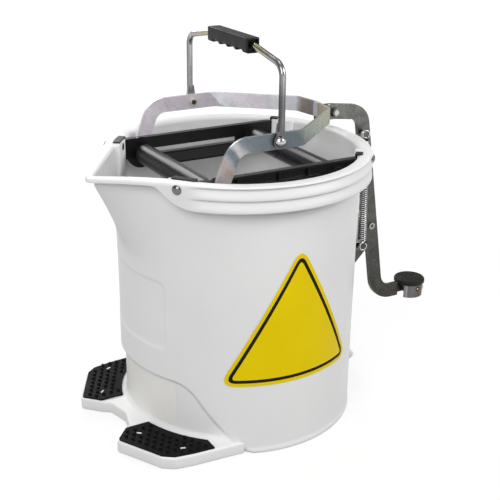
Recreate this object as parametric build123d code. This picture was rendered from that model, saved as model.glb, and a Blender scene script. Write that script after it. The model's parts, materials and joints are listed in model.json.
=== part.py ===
from build123d import *
import math
import os

# Mop bucket with a two-roller foot wringer. Millimetres, +Z up, origin on the bucket's axis at the floor.
# The spout points to -X, the foot lever to +X. "near" pieces lie at -Y, "far" pieces at +Y.

# Bucket shell
rim_height = 300.0
base_radius = 130.5
wall_top_radius = 132.0
wall = 3.0
floor = 4.0

# Rim band, the stepped skirt under the lip
band_overhang = 13.0
band_height = 27.0
band_skin = 2.6
bead_step = 1.4
lip_thickness = 6.0
lip_inner_round = 4.0
lip_outer_round = 2.5
skirt_cut_x = -104.0
skirt_cut_run = 30.0

# Spout
spout_angle = 35.0
spout_wall_angle = 37.5
spout_lip_tip = 15.0
spout_wall_tip = 10.0
spout_lip_height = 15.0
spout_depth = 95.0
spout_root_tip = 60.0
spout_root = 0.75
spout_tuck = 0.4

# Front recess and moulded panel
recess_depth = 5.0
recess_height = 76.0
recess_side_angle = 35.778
recess_foot_angle = 61.79
recess_corner = 8.0
recess_round = 2.0
panel_relief = 0.8
panel_half_width = 59.0
panel_bottom = 111.0
panel_height = 75.0
panel_round = 9.0

# Hold for the hand low on the rear wall
hold_reach = 22.5
hold_height = 27.0
hold_half_angle = 11.7
hold_round = 3.0

# Foot platform: corners as (angle, reach beyond the wall), from the middle to the far side
platform_outline = [
    (180.0, 9.5), (169.8, 18.1), (168.1, 27.7), (163.5, 48.9),
    (144.7, 46.6), (140.1, 42.4), (134.5, 29.7), (115.0, 0.0),
]
platform_height = 14.0
platform_corner = 5.0
platform_round = 1.4

# Foot pads and the pegs that hold them, pegs as (angle, reach beyond the wall)
pad_sink = 2.5
pad_height = 4.5
pad_margin = 2.0
pad_wall_gap = 1.5
pad_gap_half = 34.5
pad_rear_x = -88.5
pad_clearance = 0.3
pad_row_angle = 61.9
stud_radius = 2.1
stud_height = 2.6
stud_pitch = 9.0
stud_margin = 1.4
peg_places = [(160.8, 24.0), (139.9, 23.8)]
peg_length = 7.0
peg_width = 2.2
peg_height = 7.0

# Rails
rail_flange = 7.0
rail_web = 3.0
rail_drop = 2.0
rail_rib = 2.5
rail_skirt = 10.5
rail_rib_places = (-50.0, -1.7, 33.0)
drip_reach = 8.0
drip_start_x = -60.0
slot_height = 6.6
slot_end_x = 45.0
lug_radius = 17.5
boss_radius = 10.0
end_plate = 2.5
end_plate_angle = 12.0
end_hook_reach = 5.0
end_hook = 1.2
lever_hook_angle = 4.0
spout_hook_angle = 11.0
rivet_angle = 37.0
rivet_drop = 6.6
rivet_radius = 2.4
rivet_tail = 1.2
rivet_head_radius = 5.0
rivet_head = 2.2

# Rollers and axles
roller_drop = 18.7
moving_roller_x = -74.2
fixed_roller_x = 67.9
roller_radius = 11.25
roller_skin = 2.25
roller_end_gap = 13.7
plug_flange = 6.0
plug_spigot = 14.0
plug_chamfer = 1.0
axle_radius = 3.0
axle_wall_gap = 4.5
guide_radius = 6.0
nut_thickness = 5.0
nut_radius = 5.6
washer = 1.5
washer_radius = 7.5

# Yoke strip
strip_width = 16.5
strip = 3.0
yoke_rise = 29.5
yoke_lean = 21.7
yoke_bend_radius = 21.0
yoke_elbow_x = 21.6
nose_corner_x = 95.0
nose_corner_y = 32.0
nose_x = 100.0
nose_fold = 12.0
yoke_fold = 8.0
arm_join_x = -20.0
arm_slot_width = 8.4
arm_slot_height = 17.4
arm_foot_radius = 13.5

# Clevis and its pin
pin_reach = 20.3
pin_drop = 4.8
pin_radius = 3.0
pin_head = 3.0
clevis_ear = 2.5
clevis_end_radius = 8.0
clevis_root_gap = 1.0

# Foot lever
lever = 5.0
lever_width = 17.0
lever_eye_radius = 8.5
lever_gap = 38.2
lever_lean = 8.93
lever_knee_radius = 19.0
lever_shoulder_drop = 5.1
pivot_height = 178.4
pivot_radius = 2.8
pivot_head_radius = 3.8
pivot_head = 1.4
pedal_offset = 66.3
foot_height = 86.7
foot_bend_radius = 25.0
tongue_width = 9.0
tongue_short = 6.0

# Pedal
cup_radius = 17.0
cup_skin = 2.0
cup_height = 16.0
cup_top = 5.5
cup_gap_near = 8.6
cup_gap_back = 2.0
cap_radius = 19.0
cap_height = 6.0
cap_round = 2.5
cap_stem = 9.0
pedal_screw_radius = 2.0
pedal_screw_length = 8.0
pedal_screw_angle = -50.0

# Rear bracket
ear = 4.0
near_ear = 3.0
near_ear_tip = 8.0
bracket_top = 214.0
bracket_bottom = 106.0
bracket_flange_half = 30.0
bracket_flange = 2.5
bracket_tip_radius = 8.4
bracket_rivet_radius = 1.6
bracket_rivet_angle = 9.5
bracket_rivet_inset = 20.0

# Return spring and its studs
spring_wire_radius = 0.8
spring_coil_radius = 4.45
spring_turns = 48
hook_rise = 7.5
hook_open = 60.0
stud_pin_radius = 2.4
stud_pin_head_radius = 4.0
stud_pin_head = 1.5
upper_stud_drop = 3.0
upper_stud_inset = 4.4
lower_stud_height = 157.5
lower_stud_back = 18.0

# Bail handle and grip
bail_x = -6.7
bail_radius = 3.4
bail_height = 85.0
bail_shoulder_drop = 10.3
bail_bend_radius = 14.0
eye_radius = 7.5
eye = 3.0
eye_taper = 7.0
bolt_radius = 3.0
bolt_head_radius = 6.0
bolt_head = 4.2
bolt_nut_radius = 4.2
bolt_nut = 3.0
grip_half_length = 41.8
grip_width = 15.0
grip_top = 7.5
grip_bottom = 8.0
grip_round = 2.5
finger_lobes = 5
finger_depth = 2.8

# Fits
run_fit = 0.05
slide_gap = 0.3
side_gap = 0.4
rim_gap = 0.1
arm_gap = 0.5

# Derived places
axle_z = rim_height - roller_drop
yoke_z = rim_height + yoke_rise
band_radius = wall_top_radius + band_overhang
band_bottom = rim_height - band_height
inner_radius = wall_top_radius - wall
rivet_z = rim_height - rivet_drop
rivet_angles = [rivet_angle, 180 - rivet_angle, -rivet_angle, rivet_angle - 180]
axle_half = math.sqrt(inner_radius**2 - moving_roller_x**2) - axle_wall_gap
arm_outer_y = axle_half - nut_thickness - washer
arm_inner_y = arm_outer_y - strip
arm_y = (arm_outer_y + arm_inner_y) / 2
rail_outer_y = arm_inner_y - arm_gap
rail_inner_y = rail_outer_y - rail_flange
rail_top = rim_height - rail_drop
guide_inner_y = rail_inner_y - slide_gap - washer
roller_half = rail_inner_y - roller_end_gap
pin_x = nose_x + pin_reach
pin_z = yoke_z - pin_drop
pivot_x = band_radius + lever_gap
pedal_x = pivot_x + pedal_offset
lean = math.tan(math.radians(lever_lean))
ear_y = lever / 2 + side_gap
upper_stud_height = rim_height - upper_stud_drop
bracket_rivet_heights = (bracket_bottom + bracket_rivet_inset, bracket_top - bracket_rivet_inset)
spring_y = -(ear_y + pivot_head + slide_gap + spring_coil_radius + spring_wire_radius)
upper_stud_x = pivot_x - lean * (upper_stud_height - pivot_height) - lever_width / 2 + upper_stud_inset
lower_stud_x = pivot_x - lower_stud_back
eye_inner_y = arm_outer_y + slide_gap
bail_y = arm_outer_y + side_gap + bail_radius
bail_head_y = eye_inner_y + eye + slide_gap


def wall_radius(z):
    return base_radius + (wall_top_radius - base_radius) * z / rim_height


def wall_cone(grow, z_low=0, z_top=rim_height):
    cone = Cone(wall_radius(z_low) + grow, wall_radius(z_top) + grow, z_top - z_low)
    return Pos(0, 0, (z_low + z_top) / 2) * cone


def block(x0, x1, y0, y1, z0, z1):
    return Pos((x0 + x1) / 2, (y0 + y1) / 2, (z0 + z1) / 2) * Box(x1 - x0, y1 - y0, z1 - z0)


def rod_x(radius, x0, x1, y, z):
    return Pos((x0 + x1) / 2, y, z) * Rot(0, 90, 0) * Cylinder(radius, x1 - x0)


def rod_y(radius, y0, y1, x, z):
    return Pos(x, (y0 + y1) / 2, z) * Rot(90, 0, 0) * Cylinder(radius, y1 - y0)


def plate_xz(face, y0, y1):
    # a face drawn with X across and Z up becomes a plate between two Y planes
    return Pos(0, y0, 0) * extrude(Plane.XZ * face, y1 - y0, dir=(0, 1, 0))


def front_prism(face, reach):
    # a face drawn with Y across and Z up, carried over the bucket's spout side
    return Pos(-reach, 0, 0) * extrude(Plane.YZ * face, reach, dir=(1, 0, 0))


def sector(points, start, sweep):
    # a profile of (radius, height) points turned about the bucket's axis
    face = make_face(Polyline(*points, close=True))
    return Rot(0, 0, start) * revolve(Plane.XZ * face, Axis.Z, sweep)


def dome(radius, height):
    ball = (radius**2 + height**2) / (2 * height)
    cap = Pos(0, 0, height - ball) * Sphere(ball)
    return cap & block(-radius, radius, -radius, radius, 0, height)


def hex_y(radius, y0, y1, x, z):
    return Pos(x, y0, z) * extrude(Plane.XZ * RegularPolygon(radius, 6), y1 - y0, dir=(0, 1, 0))


def both_sides(shape):
    return Compound([shape, mirror(shape, Plane.XZ)])


def ribbon(points, radii, width):
    # a strip of even width along a path whose corners are rounded
    sides = []
    for side in (1, -1):
        edges = []
        last = None
        for i, (x, y) in enumerate(points):
            if i > 0:
                back = math.dist(points[i - 1], points[i])
                into = ((x - points[i - 1][0]) / back, (y - points[i - 1][1]) / back)
            if i + 1 < len(points):
                ahead = math.dist(points[i], points[i + 1])
                out = ((points[i + 1][0] - x) / ahead, (points[i + 1][1] - y) / ahead)
            if i == 0:
                last = (x - out[1] * side * width / 2, y + out[0] * side * width / 2)
                first = last
            elif i + 1 == len(points):
                end = (x - into[1] * side * width / 2, y + into[0] * side * width / 2)
                edges.append(Line(last, end))
                last = end
            else:
                sense = math.copysign(1, into[0] * out[1] - into[1] * out[0])
                turn = math.acos(into[0] * out[0] + into[1] * out[1])
                reach = radii[i - 1] * math.tan(turn / 2)
                centre = (
                    x - into[0] * reach - into[1] * sense * radii[i - 1],
                    y - into[1] * reach + into[0] * sense * radii[i - 1],
                )
                radius = radii[i - 1] - sense * side * width / 2
                middle = (into[0] + out[0], into[1] + out[1])
                half = math.hypot(*middle)
                arc = []
                for way in (into, (middle[0] / half, middle[1] / half), out):
                    arc.append((centre[0] + way[1] * sense * radius, centre[1] - way[0] * sense * radius))
                edges.append(Line(last, arc[0]))
                edges.append(ThreePointArc(*arc))
                last = arc[2]
        sides.append((first, last, edges))
    outline = sides[0][2] + sides[1][2]
    outline.append(Line(sides[0][0], sides[1][0]))
    outline.append(Line(sides[0][1], sides[1][1]))
    return make_face(outline)


def teardrop(radius, tip_radius, angle, z):
    # plan outline: a circle drawn out by two tangents to a rounded tip at -X
    turn = math.radians(angle)
    centre = (radius - tip_radius) / math.cos(turn)
    big = (-radius * math.cos(turn), radius * math.sin(turn))
    small = (-centre - tip_radius * math.cos(turn), tip_radius * math.sin(turn))
    outline = [
        ThreePointArc(big, (radius, 0), (big[0], -big[1])),
        Line((big[0], -big[1]), (small[0], -small[1])),
        ThreePointArc((small[0], -small[1]), (-centre - tip_radius, 0), small),
        Line(small, big),
    ]
    return Pos(0, 0, z) * make_face(outline)


def spout_body(inset, z_low, z_top, z_end):
    low_radius = wall_radius(z_low) - inset - spout_tuck
    top_radius = wall_radius(z_top) - inset - spout_tuck
    root = math.degrees(math.acos((low_radius - spout_root_tip) / (low_radius + spout_root - spout_root_tip)))
    low = teardrop(low_radius, spout_root_tip, root, z_low)
    top = teardrop(top_radius, spout_wall_tip - inset, spout_wall_angle, z_top)
    return loft([low, top], ruled=True) + extrude(top, z_end - z_top, dir=(0, 0, 1))


def recess_face(grow):
    side = base_radius * math.sin(math.radians(recess_side_angle)) + grow
    foot = base_radius * math.sin(math.radians(recess_foot_angle)) + grow
    top = recess_height + grow
    points = [
        (-foot, 0),
        (-side - recess_corner, top - recess_corner),
        (-side, top),
        (side, top),
        (side + recess_corner, top - recess_corner),
        (foot, 0),
    ]
    face = make_face(Polyline(*points, close=True))
    corners = face.vertices().filter_by(lambda v: v.Y > top - recess_corner - 1)
    return fillet(corners, recess_corner * 0.5)


def on_recess(point, sink):
    # whether a point lies on the recess outline, at its brink or at its sunken floor
    off = math.hypot(point.X, point.Y) - wall_radius(point.Z) + sink
    return point.X < 0 and 1 < point.Z < recess_height + 1 and abs(off) < rim_gap


def platform_face():
    half = []
    for angle, reach in platform_outline:
        turn = math.radians(angle)
        half.append(((base_radius + reach) * math.cos(turn), (base_radius + reach) * math.sin(turn)))
    points = half + [(0, half[-1][1] / 2), (0, -half[-1][1] / 2)] + [(x, -y) for x, y in half[:0:-1]]
    face = make_face(Polyline(*points, close=True))
    corners = face.vertices().filter_by(lambda v: v.X < half[-1][0] - 1 and abs(v.Y) > 1)
    return fillet(corners, platform_corner)


def pad_face(grow):
    body = offset(platform_face(), grow - pad_margin) - Circle(base_radius + pad_wall_gap - grow)
    far = base_radius * 2
    keep = Pos(pad_rear_x + grow - far / 2, pad_gap_half - grow + far / 2) * Rectangle(far, far)
    return body & keep


def peg_place(angle, reach):
    turn = math.radians(angle)
    return Pos((base_radius + reach) * math.cos(turn), (base_radius + reach) * math.sin(turn), 0)


def peg_faces(grow):
    shape = SlotOverall(peg_length + 2 * grow, peg_width + 2 * grow)
    return [peg_place(angle, reach) * Rot(0, 0, angle + 60) * shape for angle, reach in peg_places]


def bracket_rivet_holes():
    # through the wall and the bracket's flange, at each rivet
    holes = []
    for z in bracket_rivet_heights:
        inside = wall_radius(z) - 2 * wall
        outside = wall_radius(z) + 3 * bracket_flange
        hole = rod_x(bracket_rivet_radius + run_fit, inside, outside, 0, z)
        holes.append(Rot(0, 0, bracket_rivet_angle) * hole)
        holes.append(Rot(0, 0, -bracket_rivet_angle) * hole)
    return holes


def make_bucket():
    outer = wall_cone(0)
    lip_radius = band_radius - bead_step
    spout_low = rim_height - spout_depth
    spout_top = rim_height - spout_lip_height
    outer += spout_body(0, spout_low, spout_top, rim_height - lip_thickness / 2)
    prism = front_prism(recess_face(0), base_radius * 2)
    outer -= prism - wall_cone(-recess_depth)
    for sink in (0, recess_depth):
        outer = fillet(outer.edges().filter_by(lambda e: on_recess(e @ 0.5, sink)), recess_round)
    panel = RectangleRounded(2 * panel_half_width, panel_height, panel_round)
    panel = Pos(0, panel_bottom + panel_height / 2) * panel
    outer -= front_prism(panel, base_radius * 2) - wall_cone(-panel_relief)
    platform = extrude(platform_face(), platform_height, dir=(0, 0, 1))
    outer += fillet(platform.edges().group_by(Axis.Z)[-1], platform_round)

    # lip all round, spout included
    lip_bottom = rim_height - lip_thickness
    lip = extrude(teardrop(lip_radius, spout_lip_tip, spout_angle, lip_bottom), lip_thickness, dir=(0, 0, 1))
    lip = fillet(lip.edges().group_by(Axis.Z)[-1], lip_outer_round)

    # stepped skirt, cut away in a curve under the spout
    middle = rim_height - band_height / 2
    skirt_top = rim_height - lip_outer_round - 0.7
    skirt_points = [
        (wall_top_radius - 1, lip_bottom),
        (wall_top_radius - 1, skirt_top),
        (lip_radius + 0.2, skirt_top),
        (band_radius - bead_step / 2, middle + bead_step / 2),
        (band_radius - bead_step * 1.4, middle - bead_step / 2),
        (band_radius, band_bottom + bead_step),
        (band_radius - bead_step, band_bottom),
        (band_radius - band_skin, band_bottom),
        (lip_radius - band_skin, lip_bottom),
    ]
    skirt = sector(skirt_points, 0, 360)
    far = base_radius * 2
    curve = Bezier(
        (skirt_cut_x, band_bottom - 1),
        (skirt_cut_x - skirt_cut_run, band_bottom + 1),
        (skirt_cut_x - skirt_cut_run * 0.25, lip_bottom),
        (skirt_cut_x - skirt_cut_run, lip_bottom),
    )
    close = Polyline(curve @ 1, (-far, lip_bottom), (-far, band_bottom - 1), curve @ 0)
    skirt -= plate_xz(make_face([curve, close]), -far, far)

    outer += lip
    outer += skirt

    # inside of the bucket and of its spout
    inside = wall_cone(-wall, floor, rim_height + 1)
    inside -= front_prism(recess_face(wall), far) - wall_cone(-recess_depth - wall)
    inside += spout_body(wall, spout_low + wall, spout_top, rim_height + 1)
    shell = outer - inside
    mouth = teardrop(inner_radius + 1, spout_wall_tip - wall + 1, spout_wall_angle, rim_height)
    brim = shell.edges().group_by(Axis.Z)[-1].filter_by(lambda e: mouth.is_inside(e @ 0.5))
    shell = fillet(brim, lip_inner_round)

    # hold for the hand low on the rear wall
    hold_points = [
        (base_radius - 1, hold_height + hold_reach * 0.8),
        (base_radius + hold_reach * 0.7, hold_height + hold_reach * 0.35),
        (base_radius + hold_reach, hold_height),
        (base_radius + hold_reach * 0.85, hold_height - hold_reach * 0.12),
        (base_radius + hold_reach * 0.35, hold_height - hold_reach * 0.45),
        (base_radius - 1, hold_height - hold_reach),
    ]
    hold = sector(hold_points, -hold_half_angle, 2 * hold_half_angle)
    free = hold.edges().filter_by(lambda e: math.hypot((e @ 0.5).X, (e @ 0.5).Y) > base_radius + 1)
    hold = fillet(free, hold_round)
    shell += hold

    # seats for the pads and the pegs that hold them
    seat_z = platform_height - pad_sink
    seat = Pos(0, 0, seat_z) * extrude(pad_face(pad_clearance), pad_sink + 1, dir=(0, 0, 1))
    shell -= seat
    shell -= mirror(seat, Plane.XZ)
    for face in peg_faces(0):
        peg = Pos(0, 0, seat_z - 1) * extrude(face, peg_height, dir=(0, 0, 1))
        shell += [peg, mirror(peg, Plane.XZ)]

    # holes for the rail rivets and the bracket rivets
    for angle in rivet_angles:
        hole = rod_x(rivet_radius + run_fit, inner_radius - wall, band_radius + 1, 0, rivet_z)
        shell -= Rot(0, 0, angle) * hole
    for hole in bracket_rivet_holes():
        shell -= hole
    return shell


def make_pad():
    pad = extrude(Pos(0, 0, platform_height - pad_sink) * pad_face(0), pad_height, dir=(0, 0, 1))
    room = offset(pad_face(0), -(stud_radius + stud_margin))
    for f in peg_faces(pad_clearance):
        pad -= extrude(f, platform_height * 2, dir=(0, 0, 1))
        room -= offset(f, stud_radius + pad_clearance)
    top = platform_height - pad_sink + pad_height
    middle = pad_face(0).center()
    slope = math.radians(pad_row_angle)
    studs = []
    for i in range(-9, 10):
        for j in range(-9, 10):
            along = (i + 0.5 * (j % 2)) * stud_pitch
            across = j * stud_pitch * 0.87
            x = middle.X + along * math.cos(slope) - across * math.sin(slope)
            y = middle.Y + along * math.sin(slope) + across * math.cos(slope)
            if any(f.is_inside((x, y, 0)) for f in room.faces()):
                stud = Cone(stud_radius, stud_radius * 0.75, stud_height)
                studs.append(Pos(x, y, top + stud_height / 2) * stud)
    return pad + studs


def make_rail():
    # far rail; the near one is its mirror image
    far = base_radius * 2
    slot_low = axle_z - slot_height / 2
    slot_high = axle_z + slot_height / 2
    ledge_top = slot_low - rail_rib
    web = Pos(0, (rail_top + ledge_top) / 2) * Rectangle(far, rail_top - ledge_top)
    low_length = far / 2 - moving_roller_x
    low = Rectangle(low_length, rail_skirt + 2)
    web += Pos(moving_roller_x + low_length / 2, ledge_top - rail_skirt / 2 + 1) * low
    web += Pos(moving_roller_x, axle_z) * Circle(lug_radius)
    rail = plate_xz(web, rail_inner_y, rail_inner_y + rail_web)
    rail += block(-far, far, rail_inner_y, rail_outer_y, rail_top - rail_rib, rail_top)
    slot_start = moving_roller_x - axle_radius - slide_gap
    for low, high in ((slot_high, slot_high + rail_rib), (ledge_top, slot_low)):
        rail += block(slot_start - rail_rib, slot_end_x + rail_rib, rail_inner_y, rail_outer_y, low, high)
    for x in rail_rib_places:
        half = rail_rib / 2
        rail += block(x - half, x + half, rail_inner_y, rail_outer_y - 1, slot_high, rail_top - 1)
    drip = Polyline(
        (rail_inner_y + 1, ledge_top),
        (rail_inner_y, ledge_top),
        (rail_inner_y - drip_reach, ledge_top - drip_reach * 0.9),
        (rail_inner_y - drip_reach, ledge_top - drip_reach * 0.9 - rail_rib),
        (rail_inner_y + 1, ledge_top - rail_rib - 2),
        close=True,
    )
    rail += Pos(drip_start_x, 0, 0) * extrude(Plane.YZ * make_face(drip), far, dir=(1, 0, 0))
    rail += rod_y(boss_radius, roller_half + plug_flange + side_gap, rail_outer_y, fixed_roller_x, axle_z)
    rail -= block(slot_start, slot_end_x, 0, far, slot_low, slot_high)
    rail -= rod_y(axle_radius + run_fit, 0, far, fixed_roller_x, axle_z)
    plate_out = wall_radius(ledge_top) - wall - rim_gap
    rail &= Pos(0, 0, rim_height / 2) * Cylinder(plate_out - end_plate / 2, rim_height)
    hook_low = rim_height + rim_gap
    plate_points = [
        (plate_out - end_plate, ledge_top),
        (plate_out, ledge_top),
        (plate_out, rail_top),
        (plate_out - end_plate, rail_top),
    ]
    hook_points = [
        (plate_out - end_plate, rail_top - 1),
        (plate_out, rail_top - 1),
        (plate_out, hook_low),
        (inner_radius + end_hook_reach, hook_low),
        (inner_radius + end_hook_reach, hook_low + end_hook),
        (plate_out - end_plate, hook_low + end_hook),
    ]
    web_angle = math.degrees(math.asin((rail_inner_y + rail_web) / (plate_out - end_plate / 2)))
    rail += sector(plate_points, web_angle - end_plate_angle, end_plate_angle)
    rail += sector(plate_points, 180 - web_angle, end_plate_angle)
    rail += sector(hook_points, web_angle - lever_hook_angle, lever_hook_angle)
    rail += sector(hook_points, 180 - web_angle, spout_hook_angle)
    for angle in rivet_angles[:2]:
        rail -= Rot(0, 0, angle) * rod_x(rivet_radius + run_fit, inner_radius / 2, far, 0, rivet_z)
    return rail


def make_rail_rivets():
    rivets = []
    tail = wall_radius(axle_z - slot_height / 2 - rail_rib) - wall - rim_gap - end_plate
    for angle in rivet_angles:
        rivet = rod_x(rivet_radius, tail - rivet_tail, band_radius, 0, rivet_z)
        rivet += rod_x(rivet_radius * 1.6, tail - rivet_tail - rim_gap, tail - rim_gap, 0, rivet_z)
        rivet += Pos(band_radius - 0.3, 0, rivet_z) * Rot(0, 90, 0) * dome(rivet_head_radius, rivet_head)
        rivets.append(Rot(0, 0, angle) * rivet)
    return Compound(rivets)


def make_tube(x):
    bore = roller_radius - roller_skin
    tube = rod_y(roller_radius, -roller_half, roller_half, x, axle_z)
    return tube - rod_y(bore, -roller_half, roller_half, x, axle_z)


def make_plugs(x):
    bore = roller_radius - roller_skin
    plug = rod_y(bore - run_fit, roller_half - plug_spigot, roller_half, x, axle_z)
    plug += rod_y(roller_radius, roller_half + rim_gap / 2, roller_half + plug_flange, x, axle_z)
    plug += rod_y(bore - run_fit, roller_half - 1, roller_half + 1, x, axle_z)
    plug = chamfer(plug.edges().filter_by(GeomType.CIRCLE).sort_by(Axis.Y)[-1], plug_chamfer)
    plug -= rod_y(axle_radius + run_fit, 0, rail_outer_y, x, axle_z)
    return both_sides(plug)


def make_yoke():
    reach = arm_join_x
    path = [
        (reach, -arm_y), (yoke_elbow_x, -arm_y), (nose_corner_x, -nose_corner_y), (nose_x, 0),
        (nose_corner_x, nose_corner_y), (yoke_elbow_x, arm_y), (reach, arm_y),
    ]
    plan = ribbon(path, [yoke_fold, yoke_fold, nose_fold, yoke_fold, yoke_fold], strip)
    yoke = extrude(Pos(0, 0, yoke_z - strip_width / 2) * plan, strip_width, dir=(0, 0, 1))
    corner_x = moving_roller_x + math.tan(math.radians(yoke_lean)) * (yoke_z - axle_z)
    path = [(moving_roller_x, axle_z), (corner_x, yoke_z), (reach + 1, yoke_z)]
    leg = ribbon(path, [yoke_bend_radius], strip_width)
    leg += Pos(moving_roller_x, axle_z) * Circle(arm_foot_radius)
    leg -= Pos(moving_roller_x, axle_z) * SlotOverall(arm_slot_height, arm_slot_width, rotation=90)
    for y0 in (arm_inner_y, -arm_outer_y):
        yoke += plate_xz(leg, y0, y0 + strip)
    yoke -= rod_y(bolt_radius + run_fit, -axle_half, axle_half, bail_x, yoke_z)
    return yoke


def make_clevis(yoke):
    outline = Pos((nose_x + pin_x) / 2, pin_z) * Rectangle(pin_x - nose_x, 2 * clevis_end_radius)
    outline += Pos(pin_x, pin_z) * Circle(clevis_end_radius)
    half = ear_y + clevis_ear
    clevis = plate_xz(outline, -half, half)
    gap = block(pin_x - lever_eye_radius - clevis_root_gap, pin_x * 2, -ear_y, ear_y, 0, pin_z * 2)
    clevis -= gap
    clevis -= rod_y(pin_radius + run_fit, -half, half, pin_x, pin_z)
    return clevis - yoke


def make_lever():
    knee_z = pin_z - lever_shoulder_drop
    knee = (pivot_x - lean * (knee_z - pivot_height), knee_z)
    heel = (pivot_x + lean * (pivot_height - foot_height), foot_height)
    toe = (pedal_x - cap_radius - side_gap, foot_height)
    face = ribbon([(pin_x, pin_z), knee, heel, toe], [lever_knee_radius, foot_bend_radius], lever_width)
    face += Pos(pin_x, pin_z) * Circle(lever_eye_radius)
    tongue_end = pedal_x - tongue_short
    tongue = tongue_end - toe[0] + tongue_width / 2
    face += Pos(tongue_end - tongue / 2, foot_height) * Rectangle(tongue, tongue_width)
    bar = plate_xz(face, -lever / 2, lever / 2)
    bar -= rod_y(pin_radius + run_fit, -lever, lever, pin_x, pin_z)
    bar -= rod_y(pivot_radius + run_fit, -lever, lever, pivot_x, pivot_height)
    return bar - rod_y(stud_pin_radius + run_fit, -lever, lever, upper_stud_x, upper_stud_height)


def make_pivot_pin():
    tail = ear_y + ear
    pin = rod_y(pivot_radius, -lever / 2 - side_gap - 0.1, tail + 1, pivot_x, pivot_height)
    pin += rod_y(pivot_head_radius, -ear_y - pivot_head, -ear_y, pivot_x, pivot_height)
    return pin + rod_y(pivot_head_radius, tail + rim_gap, tail + rim_gap + pivot_head, pivot_x, pivot_height)


def make_bracket():
    tip_low = (pivot_x + bracket_tip_radius * 0.9, pivot_height - bracket_tip_radius * 1.2)
    low_x = wall_radius(bracket_bottom) - wall / 2
    high_x = wall_radius(bracket_top) - wall / 2
    ear_points = [
        (low_x, bracket_bottom),
        (pivot_x - 2, bracket_bottom + pivot_x - 2 - low_x),
        tip_low,
        (pivot_x + bracket_tip_radius, pivot_height),
        (pivot_x, pivot_height + bracket_tip_radius),
        (high_x, bracket_top),
    ]
    ear_face = make_face(Polyline(*ear_points, close=True))
    ear_face += Pos(pivot_x, pivot_height) * Circle(bracket_tip_radius)
    body = plate_xz(ear_face, ear_y, ear_y + ear)
    near_tip = lower_stud_x + near_ear_tip
    near_points = [
        (low_x, bracket_bottom),
        (near_tip, bracket_bottom + near_tip - low_x),
        (lower_stud_x + near_ear_tip * 0.4, lower_stud_height + stud_pin_head_radius),
        (lower_stud_x - near_ear_tip, lower_stud_height + stud_pin_head_radius),
        (high_x, bracket_top),
    ]
    body += plate_xz(make_face(Polyline(*near_points, close=True)), -ear_y - near_ear, -ear_y)
    skin = wall_cone(rim_gap + bracket_flange)
    half = bracket_flange_half
    body += skin & block(0, base_radius * 2, -half, half, bracket_bottom, bracket_top)
    body -= wall_cone(rim_gap)
    body -= rod_y(pivot_radius + run_fit, 0, ear_y * 4, pivot_x, pivot_height)
    body -= rod_y(stud_pin_radius + run_fit, -ear_y * 4, 0, lower_stud_x, lower_stud_height)
    for hole in bracket_rivet_holes():
        body -= hole
    return body


def make_bracket_rivets():
    rivets = []
    for z in bracket_rivet_heights:
        outside = wall_radius(z) + rim_gap + bracket_flange
        inside = wall_radius(z) - wall
        rivet = rod_x(bracket_rivet_radius, inside - rivet_tail, outside + 1, 0, z)
        rivet += rod_x(bracket_rivet_radius * 1.6, inside - rivet_tail - rim_gap, inside - rim_gap, 0, z)
        head = dome(rivet_head_radius - 0.6, rivet_head * 0.8)
        rivet += Pos(outside + rim_gap, 0, z) * Rot(0, 90, 0) * head
        rivets.append(Rot(0, 0, bracket_rivet_angle) * rivet)
        rivets.append(Rot(0, 0, -bracket_rivet_angle) * rivet)
    return Compound(rivets)


def make_spring_stud(x, z, y_root):
    tip = spring_y - spring_wire_radius - side_gap
    stud = rod_y(stud_pin_radius, tip - 0.5, y_root, x, z)
    return stud + rod_y(stud_pin_head_radius, tip - stud_pin_head, tip, x, z)


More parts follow.
